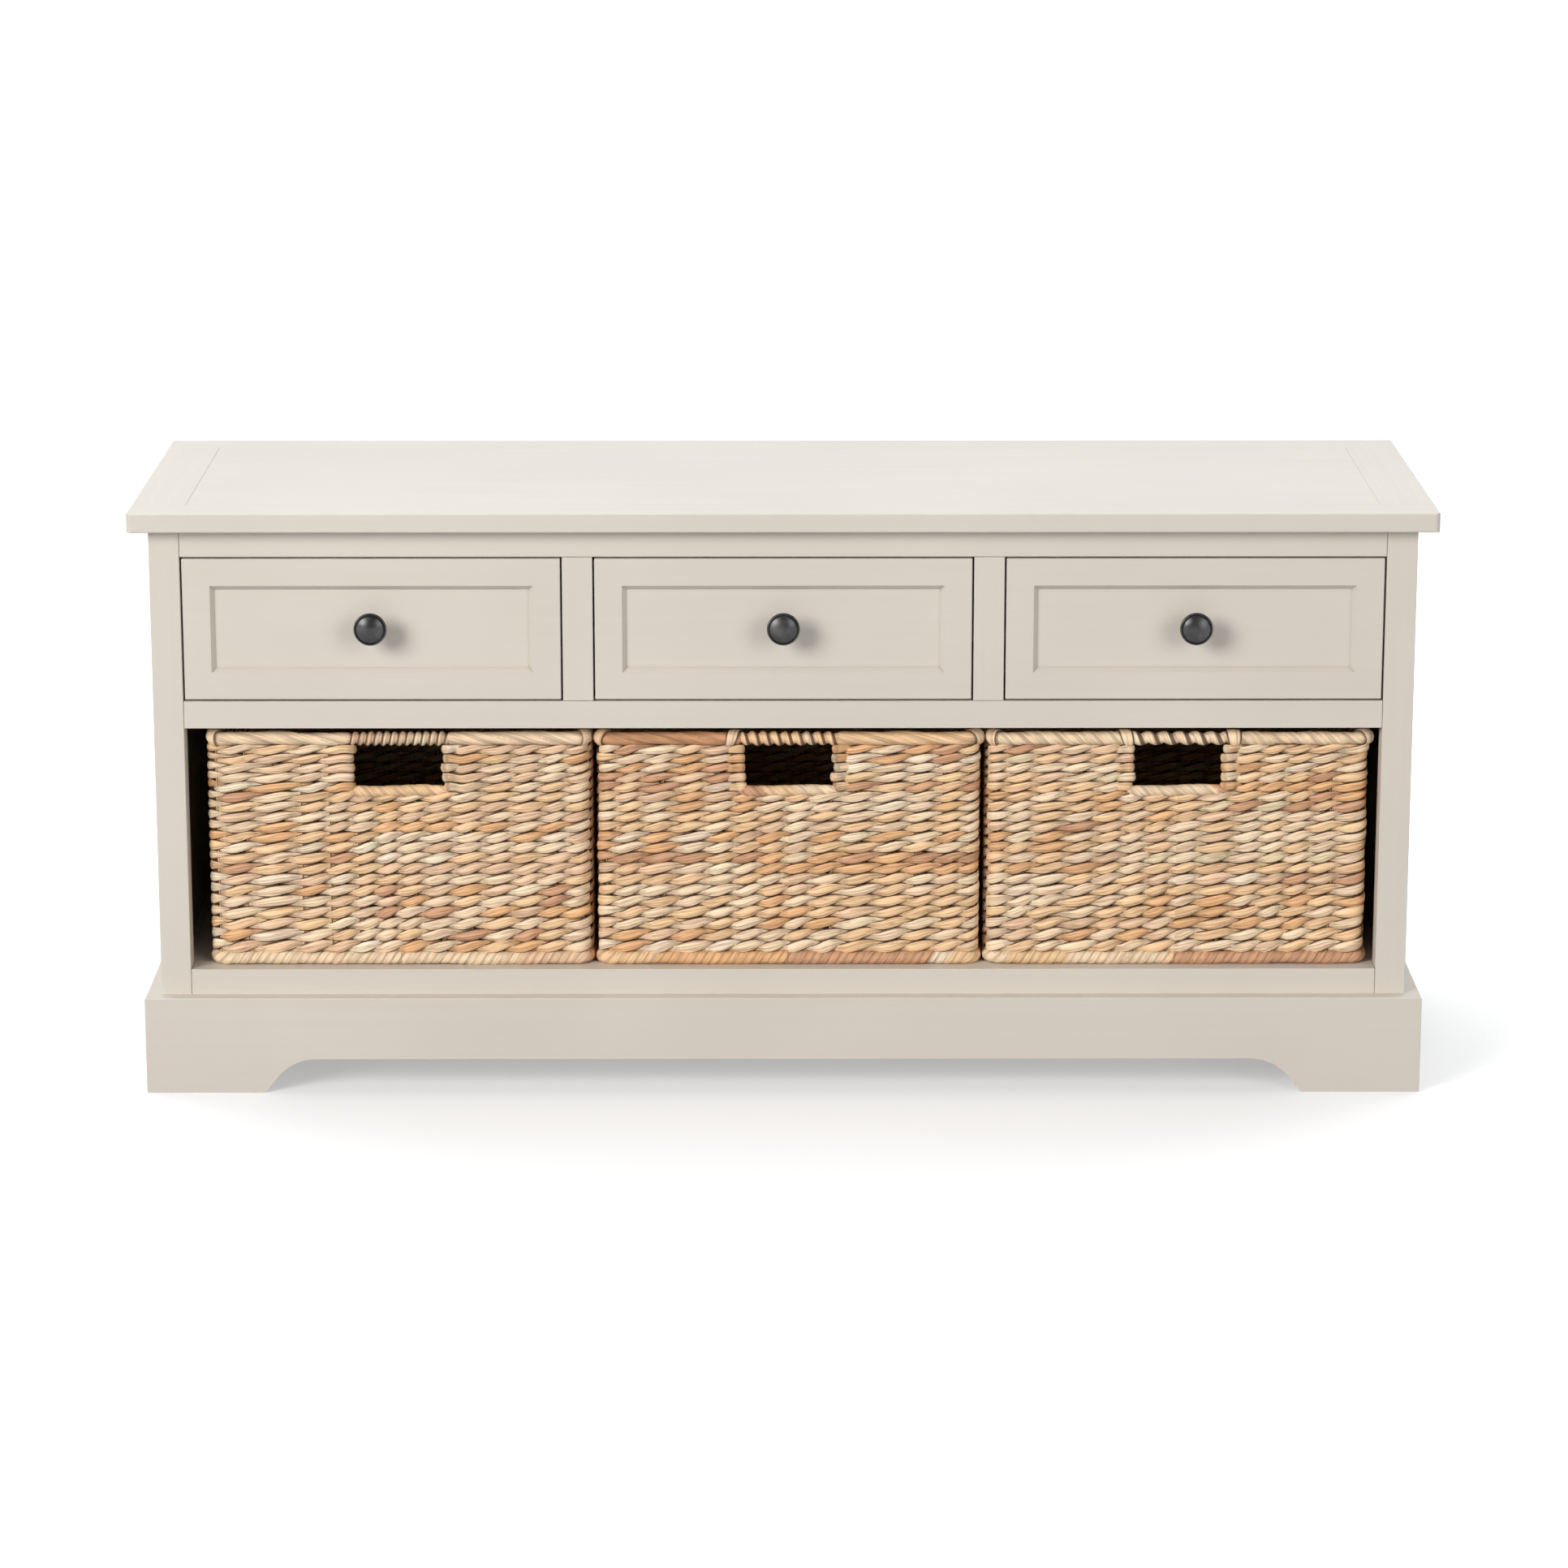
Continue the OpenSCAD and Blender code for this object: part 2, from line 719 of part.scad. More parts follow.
module plinth_side(side) {
    half = (body_y1 - plinth_y0) / 2;
    color(PAINT) on_side(side) intersection() {
        translate([0, plinth_y0 + half, 0]) along_x(body_x, plinth_x) polygon(plinth_outline(half));
        linear_extrude(plinth_h)
            polygon([[plinth_x, plinth_y0], [plinth_x, body_y1], [body_x, body_y1], [body_x, body_y0]]);
        along_y(plinth_y0, body_y1) polygon(plinth_section(plinth_x, body_x));
    }
}

// Drawers --------------------------------------------------------------------

// Recess of a drawer front: a box whose four walls slope in
module recess() {
    w = front_w / 2 - recess_border;
    h = front_h / 2 - recess_border;
    d = recess_depth;
    b = recess_bevel;
    lip = b / d * past;
    intersection() {
        translate([0, 0, -h - past]) linear_extrude(2 * (h + past))
            polygon([[-w - lip, -past], [w + lip, -past], [w - b, d], [b - w, d]]);
        along_x(-w - past, w + past)
            polygon([[-past, -h - lip], [-past, h + lip], [d, h - b], [d, b - h]]);
    }
}

// Slot for the bottom board, all round the inside of a drawer box
module bottom_slot(cell) {
    x = box_inner_x + drawer_groove_l;
    translate([cell_x(cell), 0, 0])
        block([-x, box_y0, bottom_z0], [x, box_y1 - drawer_side_t + drawer_groove_l,
            bottom_z0 + drawer_bottom_t + fit_gap]);
}

module drawer_front(cell) {
    x = cell_x(cell);
    color(PAINT) difference() {
        board([x - front_w / 2, body_y0, front_z0], [x + front_w / 2, front_y1, front_z0 + front_h],
            drawer_ease);
        translate([x, body_y0, front_z0 + front_h / 2]) recess();
        translate([x, front_y1 + past, knob_z]) rotate([90, 0, 0])
            cylinder(h = drawer_front_t + 2 * past, d = screw_d + 2 * screw_gap, $fn = round_fn);
        for (side = [LEFT, RIGHT]) {
            xa = x + side * box_x;
            xb = x + side * box_inner_x;
            block([min(xa, xb) - fit_gap, box_y0, box_z0 - fit_gap],
                [max(xa, xb) + fit_gap, front_y1 + past, box_z1 + fit_gap]);
        }
        bottom_slot(cell);
    }
}

module drawer_side(cell, side) {
    x = cell_x(cell);
    xa = x + side * box_x;
    xb = x + side * box_inner_x;
    xg = x + side * (box_x - runner_groove_l);
    xo = x + side * (box_x + past);
    half = runner_h / 2 + runner_gap;
    color(RAW_WOOD) difference() {
        block([min(xa, xb), box_y0, box_z0], [max(xa, xb), box_y1, box_z1]);
        block([min(xg, xo), inner_y0 - past, runner_z - half], [max(xg, xo), box_y1 + past, runner_z + half]);
        bottom_slot(cell);
    }
}

module drawer_back(cell) {
    x = cell_x(cell);
    color(RAW_WOOD) difference() {
        block([x - box_inner_x, box_y1 - drawer_side_t, box_z0], [x + box_inner_x, box_y1, box_z1]);
        bottom_slot(cell);
    }
}

module drawer_bottom(cell) {
    x = box_inner_x + drawer_groove_l - fit_gap;
    y1 = box_y1 - drawer_side_t + drawer_groove_l - fit_gap;
    color(RAW_WOOD) translate([cell_x(cell), 0, 0])
        block([-x, box_y0 + fit_gap, bottom_z0], [x, y1, bottom_z0 + drawer_bottom_t]);
}

// Half section of a knob, from its foot to the crown of its dome
function knob_section() =
    let (
        r = knob_d / 2,
        dome_r = knob_dome_d / 2,
        neck_r = knob_neck_d / 2,
        foot_r = knob_foot_d / 2,
        rim_z1 = knob_reach - knob_dome_rise,
        rim_z0 = rim_z1 - knob_rim_t,
        flare = r - knob_bevel - neck_r,
        fillet_z = knob_foot_t + knob_bevel + knob_fillet,
        dome_big_r = (pow(dome_r, 2) + pow(knob_dome_rise, 2)) / (2 * knob_dome_rise),
        dome_angle = asin(dome_r / dome_big_r)
    )
    concat(
        [[0, 0], [foot_r, 0], [foot_r, knob_foot_t], [foot_r - knob_bevel, knob_foot_t + knob_bevel]],
        arc(neck_r + knob_fillet, fillet_z, knob_fillet, 270, 180),
        [for (i = [1 : arc_steps]) let (a = 90 * i / arc_steps)
            [neck_r + flare * (1 - cos(a)), rim_z0 - flare * knob_sweep * (1 - sin(a))]],
        [[r, rim_z0 + knob_bevel], [r, rim_z1 - knob_bevel], [r - knob_bevel, rim_z1]],
        [[dome_r + knob_groove_w, rim_z1], [dome_r, rim_z1 - knob_groove_depth]],
        [for (i = [0 : arc_steps]) let (a = dome_angle * (1 - i / arc_steps))
            [dome_big_r * sin(a), knob_reach - dome_big_r * (1 - cos(a))]]);

module drawer_knob(cell) {
    color(GUNMETAL) translate([cell_x(cell), knob_y, knob_z]) rotate([90, 0, 0]) difference() {
        rotate_extrude($fn = round_fn) polygon(knob_section());
        translate([0, 0, -past])
            cylinder(h = knob_screw_bite + 2 * past, d = screw_d + 2 * thread_gap, $fn = round_fn);
    }
}

module drawer_knob_screw(cell) {
    color(STEEL) translate([cell_x(cell), front_y1, knob_z]) rotate([90, 0, 0])
        screw(drawer_front_t - recess_depth + knob_screw_bite);
}

// Baskets --------------------------------------------------------------------

// Plan outline of a basket, set in by a distance
module basket_plan(set) {
    polygon(round_rect(basket_w - 2 * set, basket_d - 2 * set, basket_corner_r - set));
}

// Outline of a hand hole, open upwards to the rim
module handle_outline() {
    w = handle_w / 2;
    r = handle_r;
    polygon(concat(
        [[w, handle_h + rim_h], [-w, handle_h + rim_h]],
        arc(r - w, r, r, 180, 270), arc(w - r, r, r, 270, 360)));
}

module in_basket(cell) {
    translate([basket_x(cell), basket_y0 + basket_d / 2, basket_z0]) children();
}

module basket_weave(cell) {
    wall_h = basket_h - rim_h;
    color(LEAF) in_basket(cell) difference() {
        linear_extrude(wall_h) basket_plan(weave_set);
        translate([0, 0, basket_wall]) linear_extrude(wall_h) basket_plan(weave_set + basket_wall);
        translate([0, 0, wall_h - handle_h]) along_y(-basket_d, basket_d) handle_outline();
    }
}

module basket_rim(cell) {
    color(LEAF) in_basket(cell) translate([0, 0, basket_h - rim_h])
        linear_extrude(rim_h) difference() {
            basket_plan(0);
            basket_plan(rim_w);
        }
}

top_long_board(FRONT);  // top_front_board
top_long_board(BACK);  // top_back_board
top_end_board(LEFT);  // top_left_end_board
top_end_board(RIGHT);  // top_right_end_board
top_panel();
front_post(LEFT);  // left_front_post
front_post(RIGHT);  // right_front_post
back_post(LEFT);  // left_back_post
back_post(RIGHT);  // right_back_post
side_rails(LEFT);  // left_side_rails
side_rails(RIGHT);  // right_side_rails
side_panel(LEFT);  // left_side_panel
side_panel(RIGHT);  // right_side_panel
front_top_rail();
front_middle_rail();
front_bottom_rail();
back_top_rail();
back_bottom_rail();
back_panel();
divider(LEFT);  // left_divider
divider(RIGHT);  // right_divider
partition(LEFT);  // left_partition
partition(RIGHT);  // right_partition
dust_board();
bay_floor();
drawer_runners();
corner_blocks();
top_screws();
plinth_front();
plinth_side(LEFT);  // plinth_left
plinth_side(RIGHT);  // plinth_right
drawer_front(FIRST);  // left_drawer_front
drawer_side(FIRST, LEFT);  // left_drawer_left_side
drawer_side(FIRST, RIGHT);  // left_drawer_right_side
drawer_back(FIRST);  // left_drawer_back
drawer_bottom(FIRST);  // left_drawer_bottom
drawer_knob(FIRST);  // left_drawer_knob
drawer_knob_screw(FIRST);  // left_drawer_knob_screw
drawer_front(SECOND);  // middle_drawer_front
drawer_side(SECOND, LEFT);  // middle_drawer_left_side
drawer_side(SECOND, RIGHT);  // middle_drawer_right_side
drawer_back(SECOND);  // middle_drawer_back
drawer_bottom(SECOND);  // middle_drawer_bottom
drawer_knob(SECOND);  // middle_drawer_knob
drawer_knob_screw(SECOND);  // middle_drawer_knob_screw
drawer_front(THIRD);  // right_drawer_front
drawer_side(THIRD, LEFT);  // right_drawer_left_side
drawer_side(THIRD, RIGHT);  // right_drawer_right_side
drawer_back(THIRD);  // right_drawer_back
drawer_bottom(THIRD);  // right_drawer_bottom
drawer_knob(THIRD);  // right_drawer_knob
drawer_knob_screw(THIRD);  // right_drawer_knob_screw
basket_weave(FIRST);  // left_basket_weave
basket_rim(FIRST);  // left_basket_rim
basket_weave(SECOND);  // middle_basket_weave
basket_rim(SECOND);  // middle_basket_rim
basket_weave(THIRD);  // right_basket_weave
basket_rim(THIRD);  // right_basket_rim
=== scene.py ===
"""Looks for the storage bench: painted frame and drawers, dark knobs, three woven leaf baskets."""

import math

import bpy
import numpy as np
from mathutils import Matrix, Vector


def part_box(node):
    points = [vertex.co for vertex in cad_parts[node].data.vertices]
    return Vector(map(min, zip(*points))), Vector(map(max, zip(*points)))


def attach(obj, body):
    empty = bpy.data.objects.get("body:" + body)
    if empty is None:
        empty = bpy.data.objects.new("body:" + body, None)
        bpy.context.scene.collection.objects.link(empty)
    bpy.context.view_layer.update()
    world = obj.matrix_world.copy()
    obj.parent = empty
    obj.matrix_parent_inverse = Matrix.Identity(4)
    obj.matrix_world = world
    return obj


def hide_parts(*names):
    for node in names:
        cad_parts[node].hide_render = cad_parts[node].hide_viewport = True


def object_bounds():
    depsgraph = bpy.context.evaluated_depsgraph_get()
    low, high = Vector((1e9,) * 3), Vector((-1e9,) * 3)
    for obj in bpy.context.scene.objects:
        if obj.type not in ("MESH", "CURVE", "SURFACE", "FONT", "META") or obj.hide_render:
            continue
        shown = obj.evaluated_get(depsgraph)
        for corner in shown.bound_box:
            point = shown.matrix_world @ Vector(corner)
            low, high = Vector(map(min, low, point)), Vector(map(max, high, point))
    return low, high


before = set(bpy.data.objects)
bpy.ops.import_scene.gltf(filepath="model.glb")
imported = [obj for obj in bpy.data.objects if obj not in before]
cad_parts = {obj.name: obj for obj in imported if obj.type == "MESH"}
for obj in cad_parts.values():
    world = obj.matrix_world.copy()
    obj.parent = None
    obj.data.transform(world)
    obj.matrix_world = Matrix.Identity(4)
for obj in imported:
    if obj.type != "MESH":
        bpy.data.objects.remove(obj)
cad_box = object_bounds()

MM = 0.001
X, Y, Z = Vector((1, 0, 0)), Vector((0, 1, 0)), Vector((0, 0, 1))
CELLS = ("left", "middle", "right")

# Camera: its place, how far it looks down and to the side in degrees, and its lens in mm
CAMERA_AT = (-0.0106, -4.1925, 1.2738)
CAMERA_DOWN = 14.045
CAMERA_TURN = -0.158
CAMERA_LENS = 115.7

# How far the softboxes stand from the object's middle
BOX_AWAY = 6.5

# Baskets
ROWS = 20
STAKES = 50
WHISKERS = 90
LOW_PITCH = 10.0 * MM    # height of the lowest row
HIGH_PITCH = 7.8 * MM    # height of the highest row
WALL_INSET = 5.0 * MM    # from the CAD border's faces in to the wall's line
CORNER_R = 10 * MM
ROLL_R = 5.4 * MM
ROLL_OUT = 0.3 * MM      # from the wall's line out to the middle of the rolls
HOLE_HALF_W = 38 * MM
HOLE_H = 35 * MM

# Strands of a row. Their rise and their half heights are shares of the row's height.
RING_STEP = 3.9 * MM     # between the rings of a strand
SWING = 2.6 * MM         # outward before a stake and inward behind it
RISE = 0.24
HALF_H = 0.28
AHEAD_H = 0.23           # added before a stake
BEHIND_H = 0.13          # added behind a stake
HALF_THICK = 1.6 * MM
AHEAD_THICK = 0.7 * MM   # added before a stake
TURN_REACH = 3.0 * MM    # from the wall's line to a strand that turns back at a hand hole
TURN_RUN = 14 * MM       # over which a strand gets there
TURN_H = 0.53
TURN_THICK = 2.4 * MM

# Added to a strip's mark, it makes the leaf smooth and weakens the painted shade at its edges and creases
CALM = 2


# ---------------------------------------------------------------- camera and studio

def add_camera():
    data = bpy.data.cameras.new("camera")
    data.lens = CAMERA_LENS
    data.sensor_width = 36
    camera = bpy.data.objects.new("camera", data)
    bpy.context.scene.collection.objects.link(camera)
    camera.location = CAMERA_AT
    camera.rotation_euler = (math.radians(90 - CAMERA_DOWN), 0, math.radians(CAMERA_TURN))
    bpy.context.scene.camera = camera


def add_sun(name, towards, strength, spread, colour):
    """A soft light that comes from the direction towards."""
    data = bpy.data.lights.new(name, "SUN")
    data.energy = strength
    data.angle = math.radians(spread)
    data.color = colour
    sun = bpy.data.objects.new(name, data)
    bpy.context.scene.collection.objects.link(sun)
    sun.rotation_mode = "QUATERNION"
    sun.rotation_quaternion = Vector(towards).to_track_quat("Z", "Y")


def add_softbox(name, towards, size, power, colour=(1, 1, 1)):
    """A round softbox that faces the object's middle."""
    data = bpy.data.lights.new(name, "AREA")
    data.shape = "DISK"
    data.size = size
    data.energy = power
    data.color = colour
    box = bpy.data.objects.new(name, data)
    bpy.context.scene.collection.objects.link(box)
    away = Vector(towards).normalized()
    box.location = (cad_box[0] + cad_box[1]) / 2 + away * BOX_AWAY
    box.rotation_mode = "QUATERNION"
    box.rotation_quaternion = away.to_track_quat("Z", "Y")


def add_studio():
    scene = bpy.context.scene
    scene.view_settings.view_transform = "Standard"
    scene.world = bpy.data.worlds.new("studio")
    scene.world.use_nodes = True
    background = scene.world.node_tree.nodes["Background"]
    background.inputs["Color"].default_value = (0.97, 0.985, 1, 1)
    background.inputs["Strength"].default_value = 0.28
    add_softbox("key", (-0.59, -0.71, 0.37), 3.0, 318, (1, 0.985, 0.965))
    add_softbox("fill", (0.57, -0.77, 0.29), 3.4, 128, (1, 0.99, 0.98))
    add_softbox("back_right", (0.78, 0.55, 0.3), 2.6, 55)
    add_softbox("back_left", (-0.78, 0.55, 0.3), 2.6, 55)
    add_sun("top", (-0.05, 0.42, 0.91), 2.3, 62, (0.91, 0.96, 1))


def add_backdrop():
    """A pale floor that curves up into a wall far behind."""
    half, reach, height, bend = 30, 9, 12, 3
    turns = [math.radians(a) for a in range(0, 91, 10)]
    profile = [(-40, 0)] + [(reach + bend * math.sin(t), bend * (1 - math.cos(t))) for t in turns]
    profile.append((reach + bend, height))
    verts = [(x, y, z) for y, z in profile for x in (-half, half)]
    faces = [(2 * i, 2 * i + 1, 2 * i + 3, 2 * i + 2) for i in range(len(profile) - 1)]
    mesh = bpy.data.meshes.new("backdrop")
    mesh.from_pydata(verts, [], faces)
    mesh.polygons.foreach_set("use_smooth", [True] * len(faces))
    floor = bpy.data.objects.new("backdrop", mesh)
    bpy.context.scene.collection.objects.link(floor)
    mesh.materials.append(paper_material())
    floor.visible_diffuse = False


# ---------------------------------------------------------------- shader helpers

class Shader:
    """A material's node tree, with short ways to add its nodes."""

    def __init__(self, name):
        self.material = bpy.data.materials.new(name)
        self.material.use_nodes = True
        self.tree = self.material.node_tree
        self.surface = self.tree.nodes["Principled BSDF"]

    def put(self, socket, value):
        if isinstance(value, bpy.types.NodeSocket):
            self.tree.links.new(value, socket)
        else:
            socket.default_value = value

    def node(self, kind, settings=(), **inputs):
        made = self.tree.nodes.new("ShaderNode" + kind)
        for key, value in dict(settings).items():
            setattr(made, key, value)
        for key, value in inputs.items():
            self.put(made.inputs[key], value)
        return made

    def place(self, stretch=(1, 1, 1)):
        """Coordinates fixed to the piece, stretched along each axis."""
        where = self.node("TexCoord").outputs["Object"]
        return self.node("Mapping", Vector=where, Scale=stretch).outputs["Vector"]

    def noise(self, vector, scale, detail=3.0, rough=0.55):
        return self.node("TexNoise", Vector=vector, Scale=scale, Detail=detail,
                         Roughness=rough).outputs["Fac"]

    def math(self, kind, a, b=0.0):
        made = self.node("Math", {"operation": kind})
        for socket, value in zip(made.inputs, (a, b)):
            self.put(socket, value)
        return made.outputs[0]

    def span(self, value, low, high, to_low, to_high):
        """Value from low to high, mapped to to_low to to_high and held there."""
        made = self.node("MapRange", {"interpolation_type": "SMOOTHSTEP"}, Value=value)
        for key, limit in zip(("From Min", "From Max", "To Min", "To Max"), (low, high, to_low, to_high)):
            self.put(made.inputs[key], limit)
        return made.outputs["Result"]

    def mix(self, share, a, b, kind="MIX"):
        made = self.node("Mix", {"data_type": "RGBA", "blend_type": kind, "clamp_factor": True})
        for socket, value in zip((made.inputs[0], made.inputs[6], made.inputs[7]), (share, a, b)):
            self.put(socket, value)
        return made.outputs[2]

    def bump(self, height, distance, strength=1.0, under=None):
        made = self.node("Bump", Height=height, Distance=distance, Strength=strength)
        if under is not None:
            self.put(made.inputs["Normal"], under)
        return made.outputs["Normal"]

    def rounded(self, radius):
        """The surface's direction as if its edges were rounded."""
        return self.node("Bevel", {"samples": 4}, Radius=radius).outputs["Normal"]

    def edge(self, radius):
        """1 along the piece's edges, 0 on its faces."""
        soft = self.rounded(radius)
        plain = self.node("NewGeometry").outputs["Normal"]
        made = self.node("VectorMath", {"operation": "DOT_PRODUCT"})
        self.put(made.inputs[0], soft)
        self.put(made.inputs[1], plain)
        return self.span(made.outputs["Value"], 0.8, 0.995, 1.0, 0.0)

    def finish(self, **inputs):
        for key, value in inputs.items():
            self.put(self.surface.inputs[key.replace("_", " ")], value)
        return self.material


def srgb(text):
    """A colour written as six hex digits, as linear light."""
    values = [int(text[i:i + 2], 16) / 255 for i in (0, 2, 4)]
    return tuple(v / 12.92 if v <= 0.04045 else ((v + 0.055) / 1.055) ** 2.4 for v in values) + (1.0,)


def along(axis, stretched, across):
    """Scales that draw a pattern out along one axis."""
    return tuple(stretched if abs(v) > 0.5 else across for v in axis)


# ---------------------------------------------------------------- materials

def paper_material():
    """Pale paper that glows: painted light, weaker near the object and stronger further off, which washes out
    cast shadows away from it.
    """
    s = Shader("backdrop_paper")
    tone = s.noise(s.place(), 1.5)
    away = s.node("VectorMath", {"operation": "LENGTH"})
    s.put(away.inputs[0], s.place((1.35, 1.6, 1)))
    # Painted light: the paper's glow rises with the stretched distance from the object.
    return s.finish(Base_Color=s.mix(tone, (0.6, 0.6, 0.6, 1), (0.62, 0.62, 0.62, 1)), Roughness=0.9,
                    Emission_Color=(1, 1, 1, 1),
                    Emission_Strength=s.span(away.outputs["Value"], 0.58, 1.6, 0.33, 0.8))


def paint_material(name, axis):
    """Sprayed satin paint over wood: faint grain along the board, a painted highlight along the edges, and
    painted shade in the inner corners.
    """
    s = Shader(name)
    colour = srgb("CEC6BB")
    cloud = s.noise(s.place(), 5.5, 2.0)
    grain = s.noise(s.place(along(axis, 3, 150)), 1.0, 4.0, 0.65)
    pores = s.noise(s.place(along(axis, 25, 900)), 1.0, 2.0)
    base = s.mix(s.span(cloud, 0.3, 0.7, 0.0, 1.0), [c * 0.975 for c in colour[:3]] + [1],
                 [c * 1.015 for c in colour[:3]] + [1])
    base = s.mix(s.span(grain, 0.35, 0.75, 0.0, 0.09), base, srgb("BDB2A4"))
    # Painted highlight: paler paint along the edges, broken up by noise.
    painted_edge_highlight = s.math("MULTIPLY", s.edge(1.2 * MM), s.noise(s.place(), 60.0, 3.0))
    base = s.mix(s.span(painted_edge_highlight, 0.2, 0.7, 0.0, 0.35), base, srgb("E2D9CD"))
    # Painted shade: darker where the AO node finds inner corners, recesses and joints.
    corner = s.node("AmbientOcclusion", {"samples": 8, "only_local": True}, Distance=3.5 * MM).outputs["AO"]
    base = s.mix(s.span(corner, 0.6, 0.985, 0.6, 0.0), base, srgb("857866"))
    rough = s.span(grain, 0.2, 0.8, 0.46, 0.58)
    shape = s.bump(grain, 0.10 * MM, 0.55, s.rounded(0.5 * MM))
    shape = s.bump(pores, 0.03 * MM, 0.5, shape)
    return s.finish(Base_Color=base, Roughness=rough, Normal=shape, Coat_Weight=0.3, Coat_Roughness=0.42)


def bare_wood_material(name, axis):
    """Pale softwood with growth rings drawn out along the board."""
    s = Shader(name)
    rings = s.node("TexWave", {"wave_type": "BANDS", "bands_direction": "DIAGONAL"},
                   Vector=s.place(along(axis, 0.6, 22)), Scale=1.0, Distortion=5.0, Detail=3.0).outputs["Fac"]
    fibre = s.noise(s.place(along(axis, 9, 520)), 1.0, 4.0, 0.7)
    base = s.mix(s.span(rings, 0.2, 0.95, 0.0, 1.0), srgb("DCC5A2"), srgb("D0B48C"))
    base = s.mix(s.span(fibre, 0.4, 0.75, 0.0, 0.35), base, srgb("B4905F"))
    return s.finish(Base_Color=base, Roughness=s.span(fibre, 0.2, 0.8, 0.55, 0.72),
                    Normal=s.bump(fibre, 0.15 * MM, 0.6))


def dark_board_material(name, painted_back=False):
    """Thin board coloured nearly black, as painted shade for the bench's inside, with a fine fibre. The back
    panel's outside is painted.
    """
    s = Shader(name)
    fibre = s.noise(s.place((14, 300, 300)), 1.0, 4.0)
    # Nearly black: painted shade for the inner boards.
    base = s.mix(s.span(fibre, 0.3, 0.7, 0.0, 1.0), (0.006, 0.005, 0.0045, 1), (0.013, 0.011, 0.009, 1))
    if painted_back:
        facing = s.node("SeparateXYZ", Vector=s.node("TexCoord").outputs["Normal"]).outputs["Y"]
        paint = s.mix(fibre, srgb("C6BDB1"), srgb("D2CABF"))
        base = s.mix(s.span(facing, 0.4, 0.6, 0.0, 1.0), base, paint)
    return s.finish(Base_Color=base, Roughness=s.span(fibre, 0.2, 0.8, 0.7, 0.85),
                    Specular_IOR_Level=0.2, Normal=s.bump(fibre, 0.1 * MM, 0.5))


def gunmetal_material():
    """Dark cast metal with a waxed patina, paler where hands wear it."""
    s = Shader("gunmetal")
    patina = s.noise(s.place(), 90.0, 5.0, 0.6)
    speck = s.noise(s.place(), 900.0, 2.0)
    base = s.mix(s.span(patina, 0.35, 0.7, 0.0, 1.0), srgb("3B3B3C"), srgb("4E4D4C"))
    base = s.mix(s.math("MULTIPLY", s.edge(0.8 * MM), 0.5), base, srgb("6E655C"))
    return s.finish(Base_Color=base, Metallic=0.85, Roughness=s.span(patina, 0.3, 0.75, 0.29, 0.40),
                    Normal=s.bump(speck, 0.02 * MM, 0.3, s.bump(patina, 0.05 * MM, 0.25)))


def steel_material():
    """Zinc-plated screws with turning marks."""
    s = Shader("plated_steel")
    marks = s.noise(s.place((2600, 2600, 2600)), 1.0, 2.0)
    base = s.mix(marks, srgb("A9ABAD"), srgb("C9CBCC"))
    return s.finish(Base_Color=base, Metallic=1.0, Roughness=s.span(marks, 0.3, 0.7, 0.26, 0.4),
                    Normal=s.bump(marks, 0.02 * MM, 0.3))


